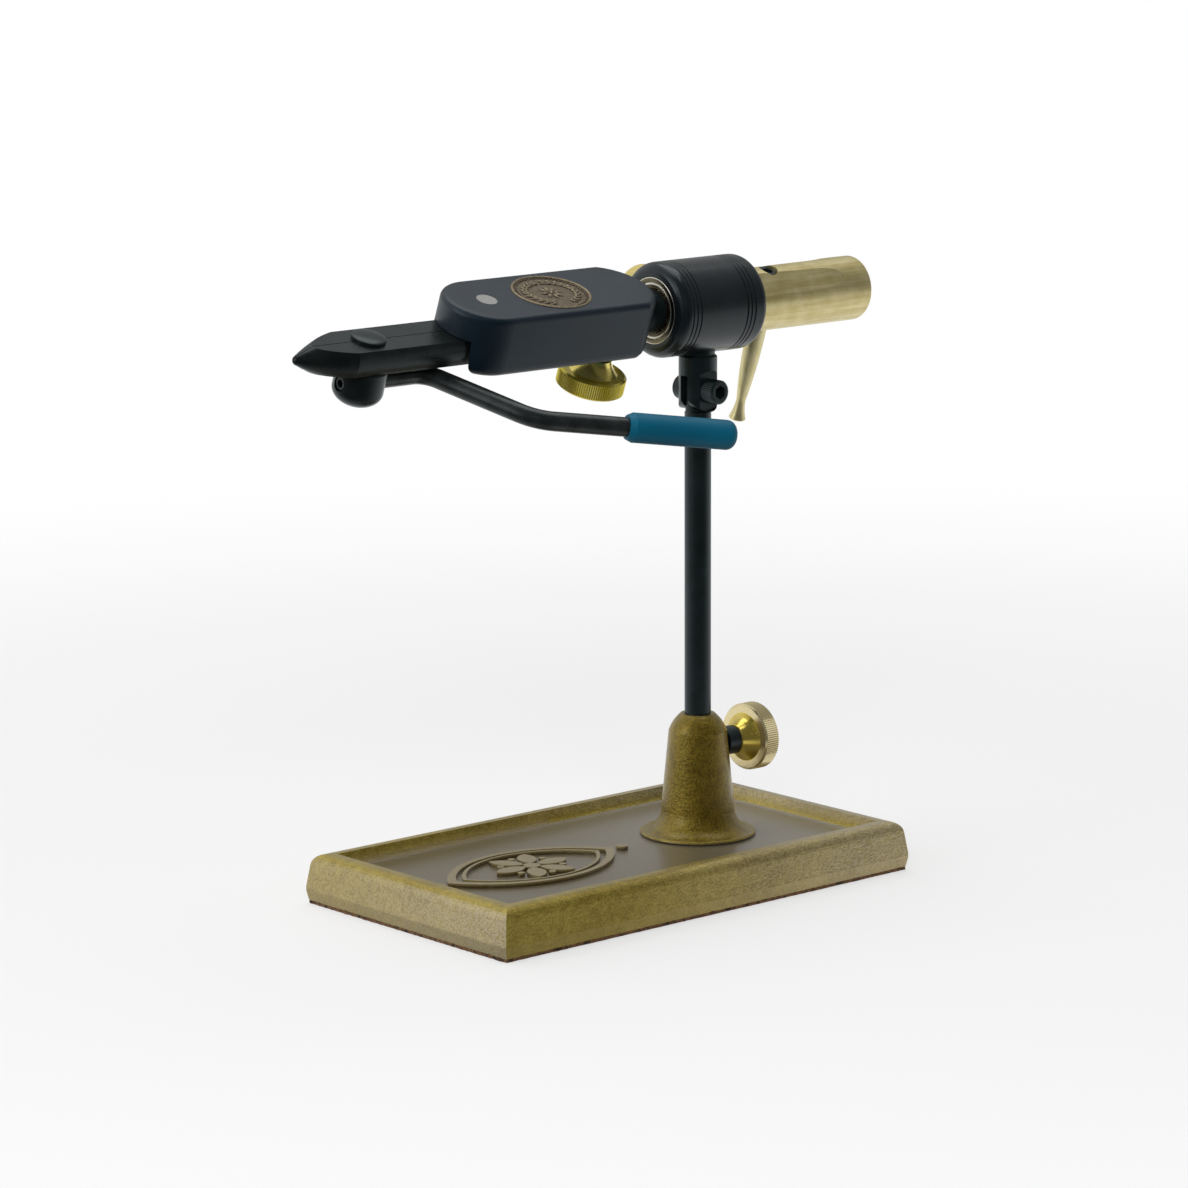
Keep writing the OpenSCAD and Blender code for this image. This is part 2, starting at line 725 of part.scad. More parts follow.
module barrel_housing() {
    len = barrel_front + barrel_rear;
    color([0.14, 0.15, 0.16]) difference() {
        translate([-barrel_front, 0, axis_h]) along_x() rotate_extrude($fn = 128)
            polygon(concat([[shoulder_clear_r, bearing_w], [race_out_r + seat_c, bearing_w],
                            [race_out_r + seat_c, 0]],
                arc(barrel_r - barrel_front_round, barrel_front_round, barrel_front_round, -90, 0,
                    edge_steps),
                groove_points(groove_front),
                groove_points(len - groove_rear),
                arc(barrel_r - barrel_rear_round, len - barrel_rear_round, barrel_rear_round, 0, 90,
                    edge_steps),
                [[race_out_r + seat_c, len], [race_out_r + seat_c, len - bearing_w],
                 [shoulder_clear_r, len - bearing_w]]));
        translate([0, 0, axis_h - barrel_r - bevel])
            cylinder(r = spigot_r + seat_c, h = spigot_h + bevel + seat_c);
        translate([drag_x, 0, axis_h]) along_y() cylinder(r = stud_r + run_c, h = barrel_r + over);
    }
}

// Bearings: each piece is made along Z from z = 0 to the bearing's width

module outer_race() {
    line_r = outer_land_r + (race_out_r - outer_land_r) * race_line_share;
    color("lightgray") difference() {
        ring(race_out_r, outer_land_r, bearing_w);
        translate([0, 0, -over]) ring(line_r + race_line_w, line_r, over + race_line_w);
        translate([0, 0, bearing_w / 2]) rotate_extrude() translate([ball_ring_r, 0])
            circle(ball_r + track_c, $fn = 48);
    }
}

module inner_race() {
    color("lightgray") difference() {
        ring(inner_land_r, spindle_r + seat_c, bearing_w);
        translate([0, 0, bearing_w / 2]) rotate_extrude() translate([ball_ring_r, 0])
            circle(ball_r + track_c, $fn = 48);
    }
}

module ball_places() {
    for (i = [0:ball_count - 1]) rotate(360 * i / ball_count)
        translate([ball_ring_r, 0, bearing_w / 2]) children();
}

module bearing_cage() {
    color("goldenrod") difference() {
        translate([0, 0, (bearing_w - cage_w) / 2])
            ring(ball_ring_r + cage_half_t, ball_ring_r - cage_half_t, cage_w);
        ball_places() rotate([0, 90, 0]) translate([0, 0, -ball_r])
            cylinder(r = ball_r + track_c, h = 2 * ball_r);
    }
}

module bearing_balls() {
    color("silver") ball_places() sphere(ball_r, $fn = 32);
}

// Pressed shield, sunk a little below the bearing's face and rolled up round its rim
module bearing_shield() {
    rim = outer_land_r - seat_c;
    eye = inner_land_r + shield_gap;
    back = shield_sunk + shield_t;
    color("lightgray") rotate_extrude()
        polygon([[rim, shield_sunk - shield_lip], [rim, back], [eye, back], [eye, shield_sunk],
                 [rim - 2 * shield_t, shield_sunk], [rim - shield_t, shield_sunk - shield_lip]]);
}

// Height of the shield's rolled rim, and its gap to the inner race
shield_lip = 0.15;
shield_gap = 0.35;

module place_front_bearing() {
    translate([front_bearing_x, 0, axis_h]) along_x() children();
}

// The rear bearing faces the other way
module place_rear_bearing() {
    translate([rear_bearing_x + bearing_w, 0, axis_h]) rotate([0, -90, 0]) children();
}

// Rotary group

module spindle() {
    color([0.16, 0.16, 0.17]) translate([-spindle_front_x, 0, axis_h]) along_x() rotate_extrude()
        polygon([[0, 0], [spindle_r - bevel, 0], [spindle_r, bevel],
                 [spindle_r, spindle_front_x + spindle_rear_x - bevel],
                 [spindle_r - bevel, spindle_front_x + spindle_rear_x],
                 [0, spindle_front_x + spindle_rear_x]]);
}

module spindle_collar() {
    color([0.16, 0.16, 0.17]) translate([-head_rear_x + seat_c, 0, axis_h]) along_x()
        ring(inner_land_r, spindle_r + seat_c, head_rear_x - barrel_front - 2 * seat_c);
}

module bearing_spacer() {
    x0 = front_bearing_x + bearing_w + seat_c;
    color("silver") translate([x0, 0, axis_h]) along_x()
        ring(spacer_r, spindle_r + seat_c, rear_bearing_x - x0 - seat_c);
}

// Round nosed block with its rounded edges: a half revolve in front, a straight bar and a turned rear
module head_block() {
    nose = section_points(head_half_w, -head_bottom, head_top, head_low_round, head_top_round);
    tail = section_points(head_rear_r, -head_bottom, head_top, head_low_round, head_top_round);
    translate([-head_x0, 0, 0]) rotate([0, 0, 90]) rotate_extrude(angle = 180, $fn = 96)
        polygon(concat([[0, -head_bottom]], nose, [[0, head_top]]));
    intersection() {
        translate([-head_x0, 0, 0]) rotate([90, 0, 90])
            linear_extrude(head_x0) polygon(concat(nose, mirrored(nose)));
        union() {
            translate([-head_x0 - over, -head_rear_r, -head_bottom - over])
                cube([head_x0 - head_rear_cx + over, 2 * head_rear_r,
                      head_bottom + head_top + 2 * over]);
            translate([-head_rear_cx, 0, 0]) rotate_extrude($fn = 96)
                polygon(concat([[0, -head_bottom]], tail, [[0, head_top]]));
        }
    }
}

module head_body() {
    front_x = head_x0 + head_half_w + over;
    mouth_half_w = channel_half_w + channel_flare;
    color([0.2, 0.21, 0.23]) in_head() difference() {
        head_block();
        translate([-front_x, 0, 0]) rotate([90, 0, 90]) linear_extrude(front_x - channel_end_x)
            polygon([[-mouth_half_w, -head_bottom - over], [mouth_half_w, -head_bottom - over],
                     [channel_half_w, channel_top], [-channel_half_w, channel_top]]);
        translate([-pin_x, 0, 0]) cylinder(r = pin_r + seat_c, h = head_top + over);
        translate([-spindle_front_x - seat_c, 0, 0]) along_x()
            cylinder(r = spindle_r + seat_c, h = spindle_front_x);
        translate([-head_knob_x, 0, -head_bottom - over])
            cylinder(r = stud_r + run_c, h = head_bottom + over);
        translate([-medal_x, 0, head_top - medal_pocket]) linear_extrude(medal_pocket + over)
            polygon(ellipse(medal_half_len + seat_c, medal_half_w + seat_c, 72));
    }
}

module medallion() {
    z = head_top - medal_pocket;
    field = medal_t - bevel;
    color("peru") in_head() translate([-medal_x, 0, z]) {
        linear_extrude(field) polygon(ellipse(medal_half_len, medal_half_w, 72));
        linear_extrude(medal_t) difference() {
            polygon(ellipse(medal_half_len, medal_half_w, 72));
            polygon(ellipse(medal_half_len - medal_rim, medal_half_w - medal_rim, 72));
        }
    }
}

module jaw_pin() {
    color("silver") in_head() translate([-pin_x, 0, -head_bottom + bevel]) rotate_extrude()
        polygon([[0, 0], [pin_r - bevel, 0], [pin_r, bevel],
                 [pin_r, head_top + head_bottom - bevel], [0, head_top + head_bottom - bevel]]);
}

// Coil spring that spreads the jaw tails, its wire swept round a helix
module jaw_spring() {
    ring_steps = 12;
    sides = 6;
    rings = spring_turns * ring_steps;
    rise = 2 * (spring_half_len - spring_wire_r) / rings;
    points = [for (i = [0:rings]) let (a = 360 * i / ring_steps)
        for (s = [0:sides - 1]) let (b = 360 * s / sides, r = spring_r + spring_wire_r * cos(b))
            [r * cos(a), r * sin(a), i * rise + spring_wire_r * sin(b)]];
    walls = [for (i = [0:rings - 1]) for (s = [0:sides - 1])
        let (p = i * sides + s, q = i * sides + (s + 1) % sides)
        each [[p, q, q + sides], [p, q + sides, p + sides]]];
    caps = [for (s = [1:sides - 2]) each [[0, s + 1, s],
        [rings * sides, rings * sides + s, rings * sides + s + 1]]];
    color("silver") in_head()
        translate([-spring_x, spring_wire_r - spring_half_len, -jaw_drop]) along_y()
            polyhedron(points = points, faces = concat(walls, caps));
}

// Cut for one thumb flat, made along the handle from x = 0, its plane sinking towards the barrel
flat_turn = 36;
flat_deep = 1;
flat_shallow = 0.75;
flat_len = 33;
flat_runout = 11;

module thumb_flat() {
    end = [flat_len + flat_runout, handle_r + run_c];
    rotate([90, 0, 0]) translate([0, 0, -handle_r]) linear_extrude(2 * handle_r)
        polygon(concat([[-over, handle_r + over], [-over, handle_r - flat_deep]],
                       bow([flat_len, handle_r - flat_shallow], end, -bevel / 3, edge_steps),
                       [[flat_len + flat_runout, handle_r + over]]));
}

module rotary_handle() {
    end_round = 0.8;
    bore_depth = spindle_rear_x - handle_x + seat_c;
    color("khaki") in_head() difference() {
        translate([handle_x, 0, 0]) along_x() rotate_extrude($fn = 128)
            polygon(concat([[0, 0], [handle_r - bevel, 0], [handle_r, bevel]],
                arc(handle_r - end_round, handle_len - end_round, end_round, 0, 90, edge_steps),
                [[0, handle_len]]));
        translate([handle_x - over, 0, 0]) along_x()
            cylinder(r = spindle_r + seat_c, h = bore_depth + over);
        for (a = [-flat_turn, flat_turn, 180 - crank_turn])
            rotate([a, 0, 0]) translate([handle_x, 0, 0]) thumb_flat();
        translate([set_screw_x, 0, 0]) cylinder(r = set_screw_r + seat_c, h = handle_r + over);
        rotate([-crank_turn, 0, 0]) translate([crank_x, 0, -handle_r - over])
            cylinder(r = crank_stub_r + seat_c, h = handle_r + over);
    }
}

// Depth of the set screw's face below the handle's round
set_screw_sunk = 0.9;

module handle_set_screw() {
    len = handle_r - set_screw_sunk - spindle_r - seat_c;
    color([0.08, 0.08, 0.09]) in_head()
    translate([set_screw_x, 0, handle_r - set_screw_sunk]) difference() {
        rotate_extrude() polygon([[0, -len], [set_screw_r - bevel, -len],
                                  [set_screw_r, bevel - len], [set_screw_r, -bevel],
                                  [set_screw_r - bevel, 0], [0, 0]]);
        hex_socket(set_screw_r * socket_share, len * socket_depth_share);
    }
}

crank_stub_r = 2.5;
crank_flare_len = 7.6;

module crank_lever() {
    seat_r = handle_r - flat_deep + (flat_deep - flat_shallow) * (crank_x - handle_x) / flat_len;
    reach = crank_reach - seat_r;
    stub = seat_r - spindle_r - seat_c;
    waist = reach - crank_flare_len;
    color("khaki") in_head() rotate([-crank_turn, 0, 0])
    translate([crank_x, 0, -seat_r - seat_c]) rotate([180, 0, 0]) rotate_extrude()
        polygon(concat([[0, -stub], [crank_stub_r, -stub], [crank_stub_r, 0]],
            bow([crank_root_r, 0], [crank_waist_r, waist], -bevel, curve_steps),
            bow([crank_waist_r, waist + bevel], [crank_end_r, reach - bevel], bevel / 2, edge_steps),
            [[crank_end_r - bevel, reach], [0, reach]]));
}

// Jaws

// Turned bar with its bulging nose and round tip, from the tail forward along -X, less a skin all round
module jaw_bar(skin) {
    tail_x = pin_x - tail_len;
    cone_x = jaw_tip_x - nose_len;
    tip_c = jaw_tip_x - nose_tip_r;
    lean = atan((jaw_r - nose_tip_r) / (tip_c - cone_x));
    tip = arc(0, tip_c - tail_x, nose_tip_r - skin, lean, 90, edge_steps);
    translate([-tail_x, 0, -jaw_drop]) rotate([0, -90, 0]) rotate_extrude($fn = 128)
        polygon(concat([[0, skin], [jaw_r - bevel, skin], [jaw_r - skin, bevel]],
            bow([jaw_r - skin, cone_x - tail_x], tip[0], -nose_bulge, edge_steps),
            [for (i = [1:edge_steps]) tip[i]]));
}

// The bar between its flats, from a distance off the middle plane outwards
module jaw_slab(side, skin) {
    tail_x = pin_x - tail_len;
    intersection() {
        jaw_bar(skin);
        translate([-jaw_tip_x - over, side, jaw_low + skin])
            cube([jaw_tip_x - tail_x + 2 * over, jaw_r, jaw_top - jaw_low - 2 * skin]);
    }
}

// One jaw, on the +Y side of the middle plane, with the fine groove along the split's edges
module jaw_half() {
    difference() {
        union() {
            jaw_slab(split_groove, 0);
            jaw_slab(split_c, split_groove_d);
        }
        translate([-pin_x, 0, jaw_low - over])
            cylinder(r = pin_r + run_c, h = jaw_top - jaw_low + 2 * over);
        translate([-pin_x, 0, jaw_low - over])
            cube([tail_len + over, tail_relief, jaw_top - jaw_low + 2 * over]);
        translate([-cam_x - post_r - post_end_c, 0, jaw_low - over])
            cube([2 * (post_r + post_end_c), post_flat + post_side_c, jaw_top - jaw_low + 2 * over]);
        translate([-spring_x, 0, -jaw_drop]) along_y()
            cylinder(r = spring_pocket_r, h = spring_pocket_d + tail_relief);
    }
}

module jaw_near() {
    color([0.11, 0.11, 0.12]) in_head() mirror([0, 1, 0]) jaw_half();
}

module jaw_far() {
    color([0.11, 0.11, 0.12]) in_head() jaw_half();
}

// Cam and lever

// Height of the post's flatted foot, which sits in a recess of the hub
post_foot = hub_top - bevel;

module cam_post() {
    button_c = 0.05;
    edge_h = button_h / 2;
    color([0.13, 0.13, 0.14]) in_head() translate([-cam_x, 0, 0]) {
        intersection() {
            translate([0, 0, post_foot]) cylinder(r = post_r, h = jaw_top + button_c + bevel - post_foot);
            translate([-post_r, -post_flat, post_foot])
                cube([2 * post_r, 2 * post_flat, jaw_top + button_c + bevel - post_foot]);
        }
        translate([0, 0, jaw_top + button_c]) rotate_extrude()
            polygon(concat([[0, 0], [button_r, 0]],
                quarter(0, edge_h, button_r, button_h - edge_h, 0, 90, edge_steps)));
        translate([0, 0, post_shank_low])
            cylinder(r = post_shank_r, h = hub_top - post_shank_low);
    }
}

// Depth of the lever rod's seat in the hub, from the hub's axis
rod_seat_x = 4.6;

module cam_body() {
    straight = hub_h * hub_straight_share;
    color([0.13, 0.13, 0.14]) in_head() translate([-cam_x, 0, 0]) difference() {
        translate([0, 0, hub_low]) rotate_extrude($fn = 96)
            polygon(concat([[0, 0]],
                quarter(0, hub_h - straight, hub_r, hub_h - straight, -80, 0, curve_steps),
                [[hub_r, hub_h - bevel], [hub_r - bevel, hub_h], [0, hub_h]]));
        translate([0, 0, post_shank_low - seat_c])
            cylinder(r = post_shank_r + seat_c, h = hub_top - post_shank_low + over);
        translate([0, 0, post_foot - seat_c]) cylinder(r = post_r + seat_c, h = bevel + over);
        translate([-hub_r - over, 0, -lever_drop]) along_x()
            cylinder(r = cam_screw_r + seat_c, h = hub_r + over);
        translate([rod_seat_x - seat_c, 0, -lever_drop]) along_x()
            cylinder(r = rod_r + seat_c, h = hub_r);
    }
}

cam_screw_r = 2.6;
cam_screw_sunk = 0.7;

module cam_set_screw() {
    len = hub_r - cam_screw_sunk - post_shank_r - seat_c;
    color([0.08, 0.08, 0.09]) in_head() translate([cam_screw_sunk - cam_x - hub_r, 0, -lever_drop])
        rotate([0, -90, 0]) difference() {
            rotate_extrude() polygon([[0, -len], [cam_screw_r - bevel, -len],
                                      [cam_screw_r, bevel - len], [cam_screw_r, -bevel],
                                      [cam_screw_r - bevel, 0], [0, 0]]);
            hex_socket(cam_screw_r * socket_share, len * socket_depth_share);
        }
}

// Straight stretches and bends of the lever, in its own plane: x along the stretch, bends about Z
cut_a = bend_a_r * tan(bend_a_turn / 2);
cut_b = bend_b_r * tan(bend_b_turn / 2);
root_len = bend_a_reach - cut_a - rod_seat_x;
mid_len = bend_b_reach - cut_a - cut_b;
rod_bite = 26;
// Radius that the rod loses where it is bent, and the lap of its straight stretches over the bends
bend_thin = 0.02;
bend_lap = 0.2;
bent_r = rod_r - bend_thin;

module straight_rod(len, lap) {
    translate([-lap, 0, 0]) along_x() cylinder(r = rod_r, h = len + lap, $fn = 48);
}

// Bend towards -Y by turn degrees
module bend_right(r, turn) {
    translate([0, -r, 0]) rotate([0, 0, 90 - turn]) rotate_extrude(angle = turn, $fn = 96)
        translate([r, 0]) circle(bent_r, $fn = 48);
}

// Bend towards +Y by turn degrees
module bend_left(r, turn) {
    translate([0, r, 0]) rotate([0, 0, -90]) rotate_extrude(angle = turn, $fn = 96)
        translate([r, 0]) circle(bent_r, $fn = 48);
}

// Moves children to the end of a bend
module past_right(r, turn) {
    translate([r * sin(turn), r * (cos(turn) - 1), 0]) rotate([0, 0, -turn]) children();
}

module past_left(r, turn) {
    translate([r * sin(turn), r * (1 - cos(turn)), 0]) rotate([0, 0, turn]) children();
}

module place_lever() {
    in_head() translate([rod_seat_x - cam_x, 0, -lever_drop]) children();
}

// Moves children to the end of the second bend
module past_bends() {
    translate([root_len, 0, 0]) past_right(bend_a_r, bend_a_turn)
        translate([mid_len, 0, 0]) past_left(bend_b_r, bend_b_turn) children();
}

module lever_rod() {
    color([0.2, 0.2, 0.21]) place_lever() {
        straight_rod(root_len + bend_lap, 0);
        translate([root_len, 0, 0]) {
            bend_right(bend_a_r, bend_a_turn);
            past_right(bend_a_r, bend_a_turn) {
                straight_rod(mid_len + bend_lap, bend_lap);
                translate([mid_len, 0, 0]) bend_left(bend_b_r, bend_b_turn);
            }
        }
        past_bends() straight_rod(grip_reach - cut_b + rod_bite, bend_lap);
    }
}

module lever_grip() {
    nose = 2;
    tail_round = 3.2;
    lip = 0.9;
    color([0.1, 0.41, 0.53]) place_lever() past_bends() translate([grip_reach - cut_b, 0, 0])
        along_x() rotate_extrude($fn = 64)
            polygon(concat([[rod_r + seat_c, 0], [rod_r + lip, 0], [grip_r, nose]],
                arc(grip_r - tail_round, grip_len - tail_round, tail_round, 0, 90, edge_steps),
                [[0, grip_len], [0, rod_bite + seat_c], [rod_r + seat_c, rod_bite + seat_c]]));
}

base_casting();
base_pad();
base_lock_stud();
base_lock_knob();
stem();
barrel_housing();
yoke();
tilt_screw();
tilt_nut();
place_front_bearing() outer_race();  // front_outer_race
place_front_bearing() inner_race();  // front_inner_race
place_front_bearing() bearing_cage();  // front_cage
place_front_bearing() bearing_balls();  // front_balls
place_front_bearing() bearing_shield();  // front_shield
place_rear_bearing() outer_race();  // rear_outer_race
place_rear_bearing() inner_race();  // rear_inner_race
place_rear_bearing() bearing_cage();  // rear_cage
place_rear_bearing() bearing_balls();  // rear_balls
place_rear_bearing() bearing_shield();  // rear_shield
drag_stud();
drag_knob();
drag_shoe();
spindle();
spindle_collar();
bearing_spacer();
head_body();
medallion();
jaw_pin();
jaw_spring();
head_lock_stud();
head_lock_knob();
rotary_handle();
handle_set_screw();
crank_lever();
jaw_near();
jaw_far();
cam_post();
cam_body();
cam_set_screw();
lever_rod();
lever_grip();
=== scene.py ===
import math

import bpy
from mathutils import Matrix, Vector, noise


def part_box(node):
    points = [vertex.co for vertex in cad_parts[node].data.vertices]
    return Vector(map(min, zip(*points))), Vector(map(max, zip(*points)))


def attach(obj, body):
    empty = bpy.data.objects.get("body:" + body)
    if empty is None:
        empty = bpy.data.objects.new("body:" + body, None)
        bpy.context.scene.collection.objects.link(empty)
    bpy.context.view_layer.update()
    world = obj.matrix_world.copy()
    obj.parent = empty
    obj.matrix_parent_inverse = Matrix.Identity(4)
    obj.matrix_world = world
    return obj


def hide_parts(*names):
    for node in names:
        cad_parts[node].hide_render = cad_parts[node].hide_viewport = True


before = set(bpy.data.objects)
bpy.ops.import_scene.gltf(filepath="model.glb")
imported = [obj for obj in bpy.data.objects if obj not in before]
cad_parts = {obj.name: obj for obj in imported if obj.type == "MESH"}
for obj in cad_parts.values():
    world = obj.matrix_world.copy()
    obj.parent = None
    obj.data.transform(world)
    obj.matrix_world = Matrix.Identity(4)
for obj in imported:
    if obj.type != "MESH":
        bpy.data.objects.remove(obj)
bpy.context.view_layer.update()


# Base casting. A heavy bronze plate with a sunk tray and the tall boss for the stem, sand cast in
# one piece and left as cast: the grain of the sand shows and the tray's floor is dull. Its outside
# is painted paler grey towards the tail and on the nose's end face, a painted sheen that stands in
# for reflected light.

class Signal:
    """A number or a colour on its way through a finish. Sums on it add Math nodes."""

    def __init__(self, finish, socket):
        self.finish = finish
        self.socket = socket

    def _sum(self, operation, first, second):
        return self.finish.node("ShaderNodeMath", {"operation": operation}, {0: first, 1: second})

    def __add__(self, other):
        return self._sum("ADD", self, other)

    def __sub__(self, other):
        return self._sum("SUBTRACT", self, other)

    def __rsub__(self, other):
        return self._sum("SUBTRACT", other, self)

    def __mul__(self, other):
        return self._sum("MULTIPLY", self, other)

    def __pow__(self, other):
        return self._sum("POWER", self, other)

    __radd__ = __add__
    __rmul__ = __mul__


class Layers:
    """Nodes in a tree, added one by one."""

    def __init__(self, tree):
        self.tree = tree
        tree.nodes.clear()

    def _fill(self, node, sockets):
        for key, value in sockets.items():
            if isinstance(value, Signal):
                self.tree.links.new(value.socket, node.inputs[key])
            else:
                node.inputs[key].default_value = value

    def node(self, kind, settings, sockets, output=0):
        """Adds a node: its settings first, then the values or links of its sockets."""
        made = self.tree.nodes.new(kind)
        for name, value in settings.items():
            setattr(made, name, value)
        self._fill(made, sockets)
        return Signal(self, made.outputs[output])

    def along(self, vector, direction):
        """How far a vector reaches in a direction."""
        return self.node("ShaderNodeVectorMath", {"operation": "DOT_PRODUCT"},
                         {0: vector, 1: direction}, "Value")

    def between(self, signal, low, high):
        """0 below low, 1 above high and smooth between them."""
        return self.node("ShaderNodeMapRange", {"interpolation_type": "SMOOTHSTEP"},
                         {"Value": signal, "From Min": low, "From Max": high})

    def mixed(self, share, first, second):
        """One colour turning into another, by the Mix node's colour sockets and output."""
        first_in, second_in, colour_out = 6, 7, 2
        first, second = (c if isinstance(c, Signal) else (*c, 1) for c in (first, second))
        return self.node("ShaderNodeMix", {"data_type": "RGBA"},
                         {0: share, first_in: first, second_in: second}, colour_out)


class Finish(Layers):
    """A procedural finish, with its patterns placed by the piece's own coordinates in metres."""

    def __init__(self, name, **plain):
        self.material = bpy.data.materials.new(name)
        self.material.use_nodes = True
        super().__init__(self.material.node_tree)
        self.surface = self.tree.nodes.new("ShaderNodeBsdfPrincipled")
        result = self.tree.nodes.new("ShaderNodeOutputMaterial")
        self.tree.links.new(self.surface.outputs[0], result.inputs[0])
        self.place = self.node("ShaderNodeTexCoord", {}, {}, "Object")
        for name, value in plain.items():
            self.surface.inputs[name.replace("_", " ")].default_value = value

    def parts(self):
        """The three coordinates as separate signals."""
        split = self.tree.nodes.new("ShaderNodeSeparateXYZ")
        self._fill(split, {0: self.place})
        return [Signal(self, split.outputs[i]) for i in range(3)]

    def noise(self, size, detail, rough, stretch=(1, 1, 1)):
        """Noise whose lumps are about size metres across, drawn out along an axis by stretch."""
        place = self.node("ShaderNodeMapping", {}, {"Vector": self.place,
                                                    "Scale": [1 / (size * s) for s in stretch]})
        return self.node("ShaderNodeTexNoise", {}, {"Vector": place, "Scale": 1.0,
                                                    "Detail": detail, "Roughness": rough})

    def bump(self, height, depth):
        """A surface normal from a height of 0 to 1 that stands for depth metres."""
        return self.node("ShaderNodeBump", {},
                         {"Height": height, "Distance": depth, "Strength": 1.0})

    def feed(self, **sockets):
        """Feeds the shader's sockets, named with _ for a space, and gives the material."""
        self._fill(self.surface, {name.replace("_", " "): value for name, value in sockets.items()})
        return self.material


def dress(node, material):
    """Gives a piece of the vise its finish."""
    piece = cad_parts[node]
    piece.data.materials.clear()
    piece.data.materials.append(material)


def cast_bronze():
    floor_z = 0.0127
    front, rear, side, wall = -0.1285, 0.045, 0.046, 0.0015
    nose_x, tail_x = -0.134, 0.05
    boss_in_r, boss_out_r = 0.0215, 0.0235
    deep_gold, pale_gold = (0.25, 0.175, 0.008), (0.53, 0.41, 0.07)
    # The boss colours are partly its coppery patina and partly painted shade.
    boss_patina_and_shade_deep, boss_patina_and_shade_pale = (0.125, 0.084, 0.003), (0.33, 0.235, 0.025)
    # sheen_grey is the painted sheen's pale grey.
    sheen_grey, foot_brown = (0.57, 0.53, 0.53), (0.2, 0.14, 0.02)
    # motif_highlight_gold is a painted highlight; motif_side is a browner tone like the tray's
    # floor.
    motif_highlight_gold, motif_side = (0.42, 0.33, 0.13), (0.24, 0.185, 0.085)
    floor_brown, floor_grey = (0.138, 0.1, 0.036), (0.24, 0.212, 0.155)
    floor_grain = (0.3, 0.27, 0.2)
    f = Finish("cast_bronze", Coat_Roughness=0.28)
    x, y, z = f.parts()
    facing = f.node("ShaderNodeTexCoord", {}, {}, "Normal")
    grain = f.between(f.noise(0.0008, 2, 0.6), 0.35, 0.65)
    lump = f.noise(0.0035, 3, 0.5)
    cloud = f.noise(0.03, 2, 0.5)
    shade = grain * 0.45 + f.between(lump, 0.3, 0.7) * 0.3 + f.between(cloud, 0.3, 0.7) * 0.25

    inside = (f.between(y * y, side ** 2, (side - wall) ** 2) * f.between(x, front, front + wall)
              * f.between(x, rear, rear - wall))
    outside = 1 - inside
    # Painted sheen: the outside turns paler grey towards the tail and on the nose's end face,
    # standing in for reflected light.
    lit_nose_face = (f.between(f.along(facing, (-1, 0, 0)), 0.6, 0.9)
                 * f.between(x, nose_x + 0.004, nose_x))
    painted_sheen = (f.between(x, -0.1, tail_x) * 0.4
            + lit_nose_face * (0.26 + 0.2 * f.between(y, 0.05, -0.05)))
    foot = outside * f.between(z, 0.006, 0.0045)
    reach = (x * x + y * y) ** 0.5
    boss = (f.between(z, floor_z + 0.0003, floor_z + 0.002)
            * f.between(reach, boss_out_r, boss_in_r))
    floor = f.between(z, floor_z + 0.0011, floor_z + 0.0003) * inside
    motif = inside * f.between(x, -0.03, -0.036)
    low = f.between(z, floor_z + 0.0022, floor_z + 0.0016) * motif
    motif = motif * (1 - floor)

    tone = f.mixed(shade, deep_gold, pale_gold)
    # Painted sheen on the outside.
    tone = f.mixed(outside * painted_sheen * (0.4 + 0.6 * grain), tone, sheen_grey)
    tone = f.mixed(foot * 0.3, tone, foot_brown)
    # The boss is a darker, browner bronze: partly its coppery patina, partly painted shade for the
    # dark it reflects from the room in front.
    tone = f.mixed(boss, tone, f.mixed(shade, boss_patina_and_shade_deep, boss_patina_and_shade_pale))
    # Painted highlight: above the tray's floor, in front of the boss, the bronze turns a paler
    # gold, like light catching the raised motif's edges. Low down near the floor it turns browner,
    # like the floor.
    tone = f.mixed(motif * 0.7, tone, motif_highlight_gold)
    tone = f.mixed(low * 0.7, tone, motif_side)
    dull = f.mixed(f.between(x, -0.08, 0.02), floor_brown, floor_grey)
    dull = f.mixed(grain * 0.5, dull, f.mixed(0.5, dull, floor_grain))
    return f.feed(Base_Color=f.mixed(floor, tone, dull),
                  Roughness=0.3 + 0.16 * grain + 0.12 * floor,
                  Metallic=0.8 - 0.35 * motif,
                  Coat_Weight=0.6 + 0.4 * f.between(painted_sheen + floor, 0, 1) - 0.2 * boss,
                  Normal=f.bump(grain * 0.6 + lump * 0.4, 0.00016))


dress("base_casting", cast_bronze())


# Pad. A thin sheet of cork and rubber, cut a little ragged with a knife and glued under the casting
# so that it doesn't mark the table.

def cork_sheet():
    cork_dark, cork_pale, rubber = (0.10, 0.05, 0.025), (0.21, 0.115, 0.055), (0.04, 0.025, 0.015)
    f = Finish("cork_sheet", Roughness=0.9)
    crumb = f.noise(0.0012, 3, 0.7)
    tone = f.mixed(f.between(crumb, 0.4, 0.6), cork_dark, cork_pale)
    tone = f.mixed(f.between(f.noise(0.003, 2, 0.5), 0.54, 0.64), tone, rubber)
    return f.feed(Base_Color=tone, Normal=f.bump(crumb, 0.0004))


